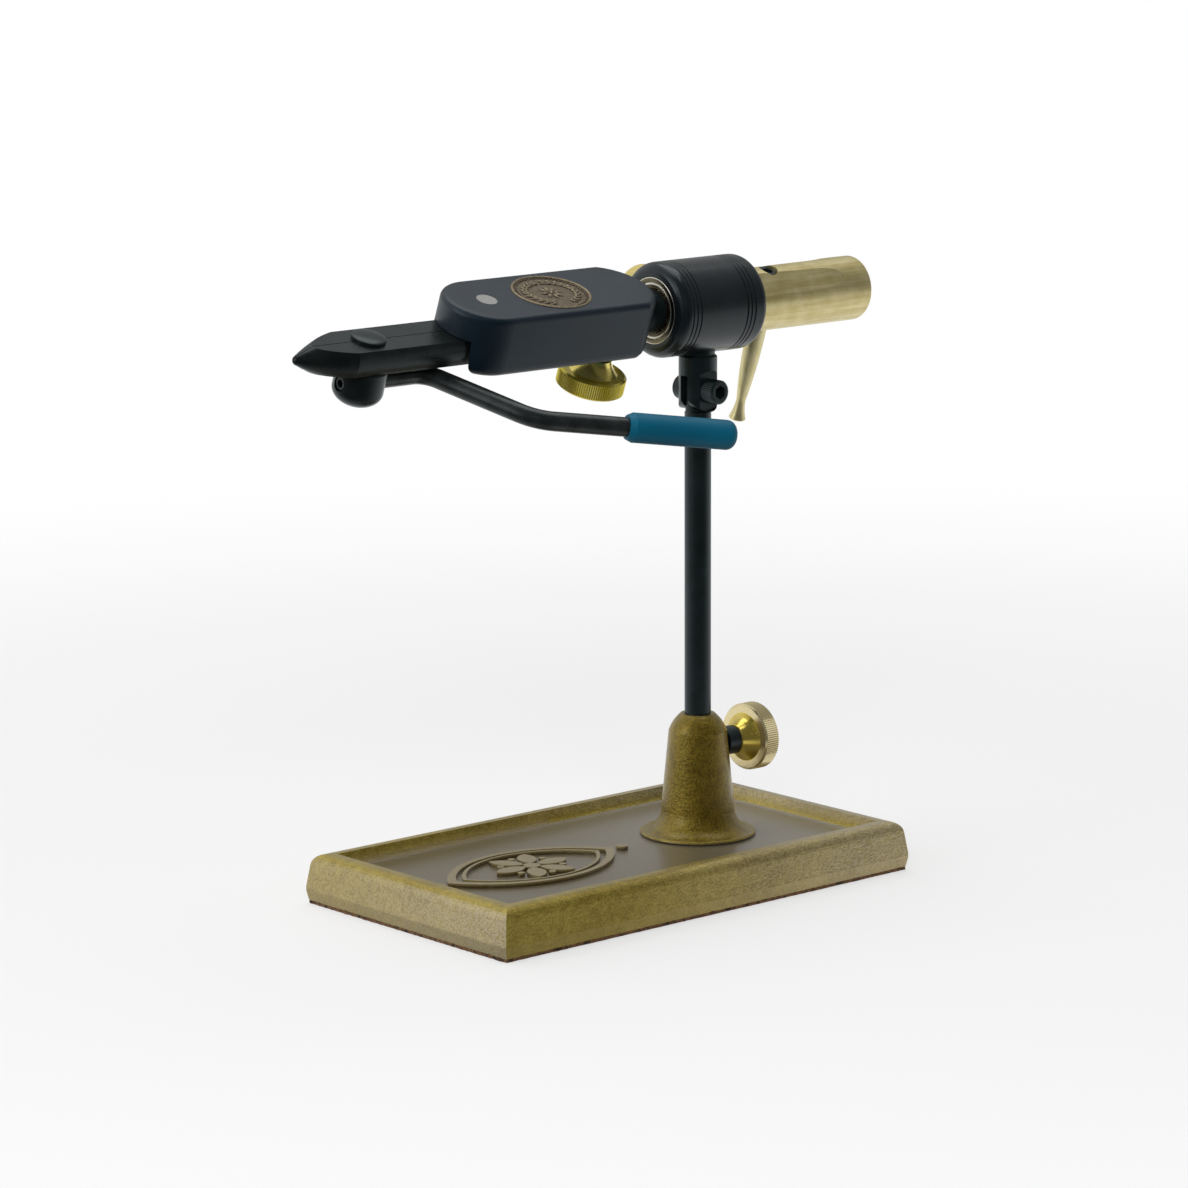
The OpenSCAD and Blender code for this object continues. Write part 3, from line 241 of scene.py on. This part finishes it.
def pad_sheet(cork):
    """A rectangle with many points along its edges, raised to a slab, whose edges then wander."""
    cuts = 140
    ragged = 0.00055
    waves, nicks = 260, 900
    at_edge = 1e-5
    low, high = (Vector(corner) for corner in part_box("base_pad"))
    middle = (low + high) / 2
    size = high - low
    bpy.ops.mesh.primitive_plane_add(size=1, location=middle)
    pad = bpy.context.active_object
    pad.name = "cork_pad"
    pad.scale = (size.x, size.y, 1)
    bpy.ops.object.transform_apply(location=True, rotation=False, scale=True)
    bpy.ops.object.mode_set(mode="EDIT")
    bpy.ops.mesh.select_all(action="SELECT")
    bpy.ops.mesh.delete(type="ONLY_FACE")
    bpy.ops.mesh.select_all(action="SELECT")
    bpy.ops.mesh.subdivide(number_cuts=cuts)
    bpy.ops.mesh.edge_face_add()
    bpy.ops.transform.translate(value=(0, 0, -size.z / 2))
    for half in range(2):
        bpy.ops.mesh.extrude_region_move(TRANSFORM_OT_translate={"value": (0, 0, size.z / 2)})
    bpy.ops.mesh.select_all(action="SELECT")
    bpy.ops.mesh.normals_make_consistent(inside=False)
    bpy.ops.object.mode_set(mode="OBJECT")
    for vertex in pad.data.vertices:
        place = vertex.co
        for axis in (0, 1):
            if abs(abs(place[axis] - middle[axis]) - size[axis] / 2) < at_edge:
                wander = noise.noise(place * waves) + 0.6 * noise.noise(place * nicks)
                vertex.co[axis] += math.copysign(ragged * wander, place[axis] - middle[axis])
    pad.data.materials.append(cork)
    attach(pad, "base")
    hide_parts("base_pad")


def deselect():
    bpy.ops.object.select_all(action="DESELECT")


deselect()
pad_sheet(cork_sheet())


# Black steel pieces: the stem, the yoke, the screws and the spindle. Turned from bar and blackened,
# then oiled, so that they shine a little.

def black_oxide():
    black = (0.007, 0.011, 0.012)
    faded = [c * 1.9 for c in black]
    f = Finish("black_steel", Metallic=0.3, Specular_Tint=(0.84, 0.96, 1, 1))
    cloud = f.noise(0.009, 3, 0.5)
    speck = f.noise(0.0006, 2, 0.5)
    tone = f.mixed(f.between(cloud * 0.7 + speck * 0.3, 0.35, 0.7), black, faded)
    return f.feed(Base_Color=tone, Roughness=0.26 + 0.12 * cloud, Normal=f.bump(speck, 0.00003))


black_steel = black_oxide()
for name in ("stem", "yoke", "tilt_nut", "spindle", "spindle_collar", "base_lock_stud",
             "drag_stud", "head_lock_stud", "handle_set_screw", "cam_set_screw"):
    dress(name, black_steel)


# Tilt screw. A socket head cap screw of black steel, whose head is knurled along its side for the
# fingers. It pulls the two ears of the yoke onto the stem's tongue.

def knurled_head_screw(steel):
    """The screw, built upright with its head below the origin, then laid along +Y at its place."""
    head_r, head_h = 0.00435, 0.0062
    shank_r, shank_h = 0.0025, 0.0146
    teeth, tooth_d = 40, 0.00016
    edge, outer_taper = 0.00045, 1.6
    socket_share = 0.58
    seat = Vector((0, -0.0055, 0.1742))
    bpy.ops.mesh.primitive_cylinder_add(vertices=2 * teeth, radius=head_r, depth=head_h - 2 * edge,
                                        location=(0, 0, -head_h / 2))
    head = bpy.context.active_object
    head.name = "tilt_screw_knurled"
    bpy.ops.object.transform_apply()
    bpy.ops.object.mode_set(mode="EDIT")
    bpy.ops.mesh.select_mode(type="VERT")
    bpy.ops.mesh.select_all(action="DESELECT")
    bpy.ops.object.mode_set(mode="OBJECT")
    for vertex in head.data.vertices:
        turn = round(math.atan2(vertex.co.y, vertex.co.x) * teeth / math.pi)
        vertex.select = turn % 2 == 1
    bpy.ops.object.mode_set(mode="EDIT")
    slim = 1 - tooth_d / head_r
    bpy.ops.transform.resize(value=(slim, slim, 1))
    bpy.ops.mesh.select_mode(type="FACE")
    for top in (True, False):
        bpy.ops.mesh.select_all(action="DESELECT")
        bpy.ops.object.mode_set(mode="OBJECT")
        for polygon in head.data.polygons:
            above = polygon.center.z > -head_h / 2
            polygon.select = abs(polygon.normal.z) > 0.9 and above == top
        bpy.ops.object.mode_set(mode="EDIT")
        rise = edge if top else -edge
        bpy.ops.mesh.extrude_region_move(TRANSFORM_OT_translate={"value": (0, 0, rise)})
        small = 1 - (edge if top else outer_taper * edge) / head_r
        bpy.ops.transform.resize(value=(small, small, 1))
    bpy.ops.object.mode_set(mode="OBJECT")
    bpy.ops.mesh.primitive_cylinder_add(vertices=6, radius=head_r * socket_share, depth=head_h,
                                        location=(0, 0, -head_h))
    socket = bpy.context.active_object
    hollow = head.modifiers.new("socket", "BOOLEAN")
    hollow.operation = "DIFFERENCE"
    hollow.object = socket
    bpy.context.view_layer.objects.active = head
    bpy.ops.object.modifier_apply(modifier="socket")
    bpy.data.objects.remove(socket)
    deselect()
    bpy.ops.mesh.primitive_cylinder_add(vertices=48, radius=shank_r, depth=shank_h + edge,
                                        location=(0, 0, (shank_h - edge) / 2))
    head.select_set(True)
    bpy.context.view_layer.objects.active = head
    bpy.ops.object.join()
    head.rotation_euler = (-math.pi / 2, 0, 0)
    head.location = seat
    bpy.ops.object.transform_apply()
    head.data.materials.clear()
    head.data.materials.append(steel)
    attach(head, "carrier")
    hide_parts("tilt_screw")


deselect()
knurled_head_screw(black_steel)


# Thumb knobs. Turned from brass bar and polished, with a fine straight knurl on the rim. The hub's
# small end seats on the black shoulder of its screw. Hub and disc have their own tones, set knob by
# knob as painted light and shade.

AXIS_Z = 0.2041
HEAD_ROLL = math.radians(20)
HEAD_UP = Vector((0, -math.sin(HEAD_ROLL), math.cos(HEAD_ROLL)))


def polished_brass(name, centre, axis, hub, disc):
    """Brass in two tones of painted light and shade, told apart by the reach from the knob's axis.
    """
    hub_r = 0.0087
    shine = (1, 0.95, 0.6)
    f = Finish(name, Metallic=0.86)
    haze = f.noise(0.005, 3, 0.5)
    fine = f.noise(0.0005, 2, 0.5)
    offset = f.node("ShaderNodeVectorMath", {"operation": "SUBTRACT"}, {0: f.place, 1: centre})
    depth = f.along(offset, axis)
    reach = (f.along(offset, offset) - depth * depth) ** 0.5
    tone = f.mixed(f.between(reach, hub_r - 0.0001, hub_r + 0.0004), hub, disc)
    tone = f.mixed(f.between(haze, 0.35, 0.7), tone, f.mixed(0.13, tone, shine))
    return f.feed(Base_Color=tone, Roughness=0.15 + 0.06 * haze + 0.05 * fine,
                  Normal=f.bump(fine, 0.00002))


# Hub and disc tones are painted light and shade. The head lock knob's hub is painted bright for a
# highlight and its disc dark for the shade under the head. The base lock knob's disc is painted
# paler for a reflection.
for node, centre, axis, hub, disc in (
        ("base_lock_knob", (0, 0, 0.0446), (1, 0, 0), (0.7, 0.54, 0.09), (0.77, 0.66, 0.38)),
        ("drag_knob", (-0.0005, 0, AXIS_Z), (0, 1, 0), (0.72, 0.58, 0.13), (0.74, 0.61, 0.21)),
        ("head_lock_knob", (-0.043, 0, AXIS_Z), HEAD_UP, (0.88, 0.73, 0.18), (0.6, 0.49, 0.05))):
    dress(node, polished_brass(node + "_brass", centre, axis, hub, disc))


# Barrel. An aluminium tube, bored for the two bearings and turned with two groups of fine grooves,
# then anodised black to a satin finish.

def satin_anodised():
    black, faded = (0.003, 0.006, 0.007), (0.006, 0.009, 0.011)
    f = Finish("satin_anodised", Specular_Tint=(0.86, 0.96, 1, 1))
    turned = f.noise(0.0005, 2, 0.6, (1, 60, 60))
    cloud = f.noise(0.012, 2, 0.5)
    return f.feed(Base_Color=f.mixed(f.between(cloud, 0.35, 0.65), black, faded),
                  Roughness=0.22 + 0.08 * turned, Normal=f.bump(turned, 0.00002))


dress("barrel_housing", satin_anodised())


# Ball bearings, a pair of them pressed in the barrel. Ground steel races with rounded edges, balls
# in a riveted cage, and a steel shield over them, pressed with a rolled rim. The races' flat faces
# and the shields' plates are painted dark for shade; the rounded edges and the rolled rims stay
# bright steel.

def ground_steel():
    f = Finish("ground_steel", Metallic=1.0)
    haze = f.noise(0.003, 2, 0.5)
    return f.feed(Base_Color=f.mixed(haze, (0.5, 0.48, 0.4), (0.68, 0.66, 0.58)),
                  Roughness=0.3 + 0.12 * haze)


def off_axis(f):
    """How far the surface is from the axis that the head turns on."""
    x, y, z = f.parts()
    return (y * y + (z - AXIS_Z) * (z - AXIS_Z)) ** 0.5


def race_steel():
    steel_edge_from, steel_edge_all = 0.01135, 0.0116
    f = Finish("race_steel", Metallic=1.0)
    haze = f.noise(0.002, 3, 0.5)
    edge = f.between(off_axis(f), steel_edge_from, steel_edge_all)
    # Painted shade: the race's flat face is dark olive, and only its rounded outer edge keeps a
    # bright steel colour.
    shaded_land = f.mixed(haze, (0.1, 0.09, 0.055), (0.2, 0.18, 0.12))
    return f.feed(Base_Color=f.mixed(edge, shaded_land, (0.72, 0.7, 0.62)), Roughness=0.2 + 0.1 * haze)


def pressed_shield():
    rim_in, rim_out = 0.0089, 0.0101
    f = Finish("pressed_shield", Metallic=1.0)
    haze = f.noise(0.002, 3, 0.5)
    reach = off_axis(f)
    rim = f.between(reach, rim_in, rim_in + 0.00015) * f.between(reach, rim_out, rim_out - 0.00012)
    # Painted shade: the shield's flat plate is dark brown; the rolled rim keeps a bright steel
    # colour.
    plate = f.mixed(haze, (0.09, 0.075, 0.04), (0.17, 0.14, 0.085))
    rolled = f.mixed(haze, (0.66, 0.64, 0.54), (0.8, 0.78, 0.69))
    return f.feed(Base_Color=f.mixed(rim, plate, rolled), Roughness=0.22 + 0.1 * haze)


def turned_ring(name, outline, face, facing):
    """A ring turned from its closed outline of radius and depth behind the bearing's face."""
    steps, smooth = 96, math.radians(35)
    bpy.ops.mesh.primitive_circle_add(vertices=len(outline), radius=0.001)
    ring = bpy.context.active_object
    ring.name = name
    for vertex, (radius, depth) in zip(ring.data.vertices, outline):
        vertex.co = (depth * facing, 0, radius)
    bpy.ops.object.mode_set(mode="EDIT")
    bpy.ops.mesh.select_all(action="SELECT")
    bpy.ops.mesh.spin(steps=steps, angle=2 * math.pi, center=(0, 0, 0), axis=(1, 0, 0))
    bpy.ops.mesh.select_all(action="SELECT")
    bpy.ops.mesh.remove_doubles(threshold=1e-6)
    bpy.ops.mesh.normals_make_consistent(inside=False)
    bpy.ops.object.mode_set(mode="OBJECT")
    bpy.ops.object.shade_smooth_by_angle(angle=smooth)
    ring.location = (face, 0, AXIS_Z)
    bpy.ops.object.transform_apply()
    return ring


def round_edge(radius, depth, r, start, stop):
    """Points of an arc of size r about its centre, from one angle to another in degrees."""
    steps = 9
    angles = [math.radians(start + (stop - start) * i / steps) for i in range(steps + 1)]
    return [(radius + r * math.cos(a), depth - r * math.sin(a)) for a in angles]


def bearing_rings(end, face, facing, race, shield):
    """The outer race with its rounded edges, and the shield pressed in it, with its rolled rim."""
    out_r, land_r, width = 0.012, 0.0104, 0.006
    out_round, in_round = 0.0005, 0.00015
    race_outline = (round_edge(out_r - out_round, out_round, out_round, 0, 90)
                    + round_edge(land_r + in_round, in_round, in_round, 90, 180)
                    + [(land_r, width), (out_r, width)])
    edge_r, edge_in = 0.01036, 0.0004
    rim_mid, rim_r = 0.00948, 0.0005
    step_out, step_in = (0.0089, 0.00055), (0.0084, 0.0006)
    eye_r, plate_in, plate_back = 0.00797, 0.0008, 0.0012
    shield_outline = ([(edge_r, edge_in)] + round_edge(rim_mid, rim_r, rim_r, 0, 180)
                      + [step_out, step_in, (eye_r, plate_in), (eye_r, plate_back),
                         (edge_r, plate_back)])
    for name, outline, steel, node in (
            (end + "_race_rounded", race_outline, race, end + "_outer_race"),
            (end + "_shield_rolled", shield_outline, shield, end + "_shield")):
        ring = turned_ring(name, outline, face, facing)
        ring.data.materials.append(steel)
        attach(ring, "carrier")
        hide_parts(node)


bright_steel = ground_steel()
for name in ("front_inner_race", "front_balls", "rear_inner_race", "rear_balls", "bearing_spacer",
             "jaw_spring"):
    dress(name, bright_steel)
shield_steel = pressed_shield()
for name in ("front_cage", "rear_cage"):
    dress(name, shield_steel)
ring_steel = race_steel()
for end, face, facing in (("front", -0.022, 1), ("rear", 0.0187, -1)):
    deselect()
    bearing_rings(end, face, facing, ring_steel, shield_steel)


# Drag shoe. A plug of natural nylon between the drag screw and the spacer, so that the screw brakes
# the head and doesn't mark the steel.

def natural_nylon():
    f = Finish("natural_nylon", Roughness=0.45)
    milk = f.noise(0.002, 2, 0.5)
    return f.feed(Base_Color=f.mixed(milk, (0.72, 0.7, 0.62), (0.84, 0.82, 0.76)))


dress("drag_shoe", natural_nylon())


# Jaw head. A long round-nosed block, milled from aluminium, with its edges rounded and a fine bead
# blast under the dark slate anodising.

def slate_anodised():
    slate, faded = (0.0018, 0.0075, 0.014), (0.0035, 0.0105, 0.019)
    f = Finish("slate_anodised", Specular_Tint=(0.86, 0.96, 1, 1))
    blast = f.noise(0.00045, 3, 0.6)
    cloud = f.noise(0.02, 2, 0.5)
    return f.feed(Base_Color=f.mixed(f.between(cloud, 0.3, 0.7), slate, faded),
                  Roughness=0.36 + 0.12 * blast, Normal=f.bump(blast, 0.00003))


dress("head_body", slate_anodised())


# Medallion. An oval bronze plate let into the head's top. It is struck with a raised rim, a row of
# beads, a wreath of leaves and a rosette, then darkened and rubbed bright on what stands up.

def struck_bronze():
    field_up = 0.0117
    field_dark, field_pale = (0.14, 0.112, 0.078), (0.19, 0.157, 0.112)
    rubbed_dark, rubbed_pale = (0.21, 0.168, 0.11), (0.29, 0.235, 0.15)
    f = Finish("struck_bronze", Metallic=0.85)
    worn = f.noise(0.0012, 4, 0.6)
    patch = f.between(worn, 0.35, 0.65)
    ground = AXIS_Z * math.cos(HEAD_ROLL) + field_up
    high = f.between(f.along(f.place, HEAD_UP), ground + 0.00005, ground + 0.00042)
    tone = f.mixed(high, f.mixed(patch, field_dark, field_pale),
                   f.mixed(patch, rubbed_dark, rubbed_pale))
    return f.feed(Base_Color=tone, Roughness=0.54 - 0.12 * high + 0.12 * worn,
                  Normal=f.bump(worn, 0.00003))


def oval_plate(half_len, half_w, thick, rim_w, sunk):
    """The plate with its top at z = 0, its rim rounded and its field sunk."""
    rim_low, rim_step, last_step, last_rise = 0.25, 0.25, 0.15, 0.06
    rim_rises = (0.18, 0.07, -0.09, -0.22)
    bpy.ops.mesh.primitive_cylinder_add(vertices=96, radius=1, depth=thick,
                                        location=(0, 0, -thick / 2))
    plate = bpy.context.active_object
    plate.scale = (half_len, half_w, 1)
    bpy.ops.object.transform_apply()
    bpy.ops.object.mode_set(mode="EDIT")
    bpy.ops.mesh.select_mode(type="FACE")
    bpy.ops.mesh.select_all(action="DESELECT")
    bpy.ops.object.mode_set(mode="OBJECT")
    for polygon in plate.data.polygons:
        polygon.select = polygon.normal.z > 0.9
    bpy.ops.object.mode_set(mode="EDIT")
    bpy.ops.transform.translate(value=(0, 0, -rim_low * rim_w))
    for rise in rim_rises:
        bpy.ops.mesh.inset(thickness=rim_step * rim_w)
        bpy.ops.transform.translate(value=(0, 0, rise * rim_w))
    bpy.ops.mesh.inset(thickness=last_step * rim_w)
    bpy.ops.transform.translate(value=(0, 0, last_rise * rim_w - sunk))
    bpy.ops.object.mode_set(mode="OBJECT")
    return plate


def struck_leaf(length, half_w, lift):
    """A pointed leaf along +X from the origin, raised in its middle."""
    pointed = 0.55
    bpy.ops.mesh.primitive_circle_add(vertices=12, radius=1, fill_type="TRIFAN")
    leaf = bpy.context.active_object
    for vertex in leaf.data.vertices:
        x, y, z = vertex.co
        on_edge = vertex.co.xy.length > 0.5
        vertex.co = (length * (x + 1) / 2, y * half_w * (1 - pointed * x ** 2),
                     0 if on_edge else lift)
    return leaf


def placed_copy(shape, x, y, z, turn=0, grow=1):
    """A copy with its own mesh, turned in the plate's plane and grown in it."""
    copy = shape.copy()
    copy.data = shape.data.copy()
    bpy.context.scene.collection.objects.link(copy)
    copy.location = (x, y, z)
    copy.rotation_euler = (0, 0, turn)
    copy.scale = (grow, grow, 1)
    return copy


def struck_medallion(bronze):
    half_len, half_w, thick = 0.0153, 0.0126, 0.0014
    rim_w, sunk = 0.0011, 0.00038
    beads, bead_r, bead_sunk = 60, 0.00036, 0.00012
    bead_x, bead_y = 0.8775 * half_len, 0.873 * half_w
    leaves, leaf_len, leaf_half_w, leaf_lift = 11, 0.0034, 0.00085, 0.00042
    leaf_x, leaf_y = 0.66 * half_len, 0.62 * half_w
    spread, lean, leaf_grow = 72, 0.5, 0.82
    petals, petal_out, petal_grow, eye_grow = 8, 0.0009, 1.05, 2.4
    middle_x, top_up = -0.0718, 0.0122
    plate = oval_plate(half_len, half_w, thick, rim_w, sunk)
    pieces = [plate]
    bead_z = -sunk - bead_sunk
    leaf_z = bead_z + 0.00008
    bpy.ops.mesh.primitive_ico_sphere_add(subdivisions=2, radius=bead_r)
    bead = bpy.context.active_object
    for i in range(beads):
        a = 2 * math.pi * i / beads
        pieces.append(placed_copy(bead, bead_x * math.cos(a), bead_y * math.sin(a), bead_z))
    leaf = struck_leaf(leaf_len, leaf_half_w, leaf_lift)
    for side in (1, -1):
        for i in range(leaves):
            a = math.radians(-spread + 2 * spread * i / (leaves - 1))
            x, y = leaf_x * math.cos(a), leaf_y * math.sin(a)
            heading = math.atan2(leaf_y * math.cos(a), -leaf_x * math.sin(a))
            for turn in (heading + lean, heading - lean):
                turn = turn if side > 0 else math.pi - turn
                pieces.append(placed_copy(leaf, side * x, y, leaf_z, turn, leaf_grow))
    for i in range(petals):
        a = 2 * math.pi * i / petals
        pieces.append(placed_copy(leaf, petal_out * math.cos(a), petal_out * math.sin(a), leaf_z,
                                  a, petal_grow))
    pieces.append(placed_copy(bead, 0, 0, leaf_z, 0, eye_grow))
    for shape in (bead, leaf):
        bpy.data.objects.remove(shape)
    deselect()
    for piece in pieces:
        piece.select_set(True)
    bpy.context.view_layer.objects.active = plate
    bpy.ops.object.join()
    plate.name = "struck_medallion"
    plate.rotation_euler = (HEAD_ROLL, 0, 0)
    plate.location = Vector((middle_x, 0, AXIS_Z)) + top_up * HEAD_UP
    bpy.ops.object.transform_apply()
    plate.data.materials.clear()
    plate.data.materials.append(bronze)
    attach(plate, "rotor")
    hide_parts("medallion")


deselect()
struck_medallion(struck_bronze())


# Jaw pin. A bright steel pin pressed through the head, ground flush with its top. Both jaws turn
# on it.

def ground_pin():
    f = Finish("ground_pin", Metallic=1.0)
    haze = f.noise(0.0012, 3, 0.6)
    return f.feed(Base_Color=f.mixed(haze, (0.3, 0.3, 0.295), (0.42, 0.42, 0.41)),
                  Roughness=0.36 + 0.2 * haze)


dress("jaw_pin", ground_pin())


# Handle and finger lever. Turned from brass bar and brushed along their length, then lacquered,
# which leaves them paler than the knobs.

def brushed_brass(name, dark, pale, rough, grain):
    f = Finish(name, Metallic=0.84)
    hair = f.noise(0.00035, 3, 0.6, [3 * g for g in grain])
    haze = f.noise(0.006, 2, 0.5)
    streak = f.noise(0.0018, 3, 0.55, grain)
    speck = f.noise(0.0006, 3, 0.6)
    shade = haze * 0.3 + streak * 0.4 + speck * 0.15 + hair * 0.15
    return f.feed(Base_Color=f.mixed(f.between(shade, 0.32, 0.68), dark, pale),
                  Roughness=rough + 0.1 * haze + 0.06 * hair, Normal=f.bump(hair, 0.00003))


dress("rotary_handle",
      brushed_brass("brushed_brass", (0.52, 0.43, 0.17), (0.76, 0.67, 0.37), 0.3, (20, 1, 1)))
dress("crank_lever",
      brushed_brass("lever_brass", (0.62, 0.54, 0.25), (0.82, 0.75, 0.46), 0.32, (1, 1, 20)))


# Jaws and cam. Hardened tool steel, ground and blackened to a gloss. The cam stands between the
# jaws and carries the lever in the domed hub below them.

def jaw_black():
    black, faded = (0.006, 0.0085, 0.0085), (0.011, 0.0135, 0.0125)
    f = Finish("jaw_black", Metallic=0.3, Specular_Tint=(0.86, 0.97, 1, 1))
    cloud = f.noise(0.008, 3, 0.5)
    fine = f.noise(0.0004, 2, 0.5, (12, 1, 1))
    return f.feed(Base_Color=f.mixed(f.between(cloud, 0.35, 0.7), black, faded),
                  Roughness=0.2 + 0.12 * cloud + 0.05 * fine, Normal=f.bump(fine, 0.00002))


jaw_steel = jaw_black()
for name in ("jaw_near", "jaw_far", "cam_post", "cam_body"):
    dress(name, jaw_steel)


# Lever rod. Drawn steel rod, bent cold in two places and left in its dark gunmetal finish. One end
# is held in the cam's hub by a set screw.

def gunmetal():
    f = Finish("gunmetal", Metallic=0.7)
    cloud = f.noise(0.007, 3, 0.5)
    draw = f.noise(0.0004, 2, 0.5)
    tone = f.mixed(f.between(cloud, 0.3, 0.7), (0.031, 0.037, 0.037), (0.06, 0.069, 0.068))
    return f.feed(Base_Color=tone, Roughness=0.27 + 0.12 * cloud, Normal=f.bump(draw, 0.00002))


dress("lever_rod", gunmetal())


# Grip. A soft vinyl sleeve in teal, dipped and pushed over the rod's end, where it holds by its own
# stretch.

def teal_vinyl():
    f = Finish("teal_vinyl", Specular_IOR_Level=0.3)
    skin = f.noise(0.0005, 4, 0.6)
    cloud = f.noise(0.02, 2, 0.5)
    tone = f.mixed(f.between(cloud, 0.3, 0.7), (0.001, 0.098, 0.172), (0.002, 0.118, 0.2))
    return f.feed(Base_Color=tone, Roughness=0.5 + 0.1 * skin, Normal=f.bump(skin, 0.00004))


dress("lever_grip", teal_vinyl())


# Studio. A white sweep under and behind the vise, soft light from above, behind and the left, and
# a dark room behind the photographer.

TO_CAMERA = (-0.664, -0.722, 0.195)
TO_LEFT = (-0.75, 0.66, 0)


def white_sweep():
    """Pale near the vise and glowing white far off. Gloss shows it white behind the vise and dark
    on the camera's side."""
    pale, dark = (0.86, 0.86, 0.86), (0.06, 0.06, 0.06)
    f = Finish("white_sweep", Roughness=1.0, Specular_IOR_Level=0.0)
    rays = f.tree.nodes.new("ShaderNodeLightPath")
    ray = {name: Signal(f, rays.outputs[name]) for name in
           ("Is Camera Ray", "Is Transmission Ray", "Is Glossy Ray")}
    reach = f.node("ShaderNodeVectorMath", {"operation": "LENGTH"}, {0: f.place}, "Value")
    ahead = f.along(f.place, (TO_CAMERA[0], TO_CAMERA[1], 0))
    far = f.between(reach, 0.2, 0.9)
    seen = ray["Is Camera Ray"] + ray["Is Transmission Ray"]
    bright = f.between(ahead, 0.3, -0.15)
    glow = seen * (0.52 + 0.48 * far) + ray["Is Glossy Ray"] * bright
    f.feed(Base_Color=f.mixed((1 - seen) * (1 - bright), pale, dark))
    white = f.node("ShaderNodeEmission", {}, {"Color": (1, 1, 1, 1), "Strength": 1.0})
    mix = f.node("ShaderNodeMixShader", {}, {0: glow, 1: Signal(f, f.surface.outputs[0]), 2: white})
    result = next(n for n in f.tree.nodes if n.type == "OUTPUT_MATERIAL")
    f.tree.links.new(mix.socket, result.inputs[0])
    return f.material


deselect()
bpy.ops.mesh.primitive_circle_add(vertices=96, radius=6, fill_type="NGON", location=(0, 0, -0.0001))
sweep = bpy.context.active_object
bpy.ops.object.transform_apply()
sweep.name = "white_sweep"
sweep.data.materials.append(white_sweep())


def soft_lamp(name, place, aim, width, height, power, mirrored=True):
    """A rectangular lamp, with its power in watts. A lamp that isn't mirrored leaves no glint."""
    lamp = bpy.data.lights.new(name, "AREA")
    lamp.shape = "RECTANGLE"
    lamp.size = width
    lamp.size_y = height
    lamp.energy = power
    holder = bpy.data.objects.new(name, lamp)
    holder.location = place
    holder.rotation_euler = (Vector(aim) - Vector(place)).to_track_quat("-Z", "Y").to_euler()
    holder.visible_glossy = mirrored
    bpy.context.scene.collection.objects.link(holder)


middle = (-0.05, 0, 0.12)
soft_lamp("left_lamp", (-1.35, 0.25, 0.55), middle, 0.8, 0.9, 3.5)
soft_lamp("top_lamp", (0.1, 0.2, 1.35), middle, 1.2, 1.0, 7.5)
soft_lamp("front_lamp", (-1.2, -1.3, 1.0), middle, 1.0, 0.8, 20, False)


def room_light():
    """White to the camera, with soft light on the vise from behind and from the left."""
    room = bpy.data.worlds.new("room")
    bpy.context.scene.world = room
    room.use_nodes = True
    light = Layers(room.node_tree)
    rays = light.tree.nodes.new("ShaderNodeLightPath")
    ray = {name: Signal(light, rays.outputs[name])
           for name in ("Is Camera Ray", "Is Transmission Ray")}
    toward = light.node("ShaderNodeTexCoord", {}, {}, "Generated")
    behind = light.between(light.along(toward, TO_CAMERA), 0.35, -0.4)
    left = light.between(light.along(toward, TO_LEFT), 0.1, 0.9)
    around = 0.09 + 0.36 * behind + 0.5 * left
    seen = ray["Is Camera Ray"] + ray["Is Transmission Ray"]
    glow = light.node("ShaderNodeMix", {"data_type": "FLOAT"}, {0: seen, 2: around, 3: 1.0})
    shine = light.node("ShaderNodeBackground", {}, {"Color": (1, 1, 1, 1), "Strength": glow})
    result = light.tree.nodes.new("ShaderNodeOutputWorld")
    light.tree.links.new(shine.socket, result.inputs[0])


room_light()
bpy.context.scene.view_settings.view_transform = "Standard"


# Camera. It stands on the tyer's side, off the jaws and a little above the head, with a long lens,
# at the photograph's viewing angle.

def photographer():
    place = (-1.09174, -1.18530, 0.40896)
    right = Vector((0.75043, -0.66093, -0.00393))
    up = Vector((0.12721, 0.13860, 0.98214))
    camera = bpy.data.cameras.new("camera")
    camera.lens = 139.09
    camera.sensor_width = 36
    camera.clip_start = 0.05
    holder = bpy.data.objects.new("camera", camera)
    turn = Matrix((right, up, right.cross(up))).transposed().to_4x4()
    holder.matrix_world = Matrix.Translation(place) @ turn
    bpy.context.scene.collection.objects.link(holder)
    bpy.context.scene.camera = holder


photographer()
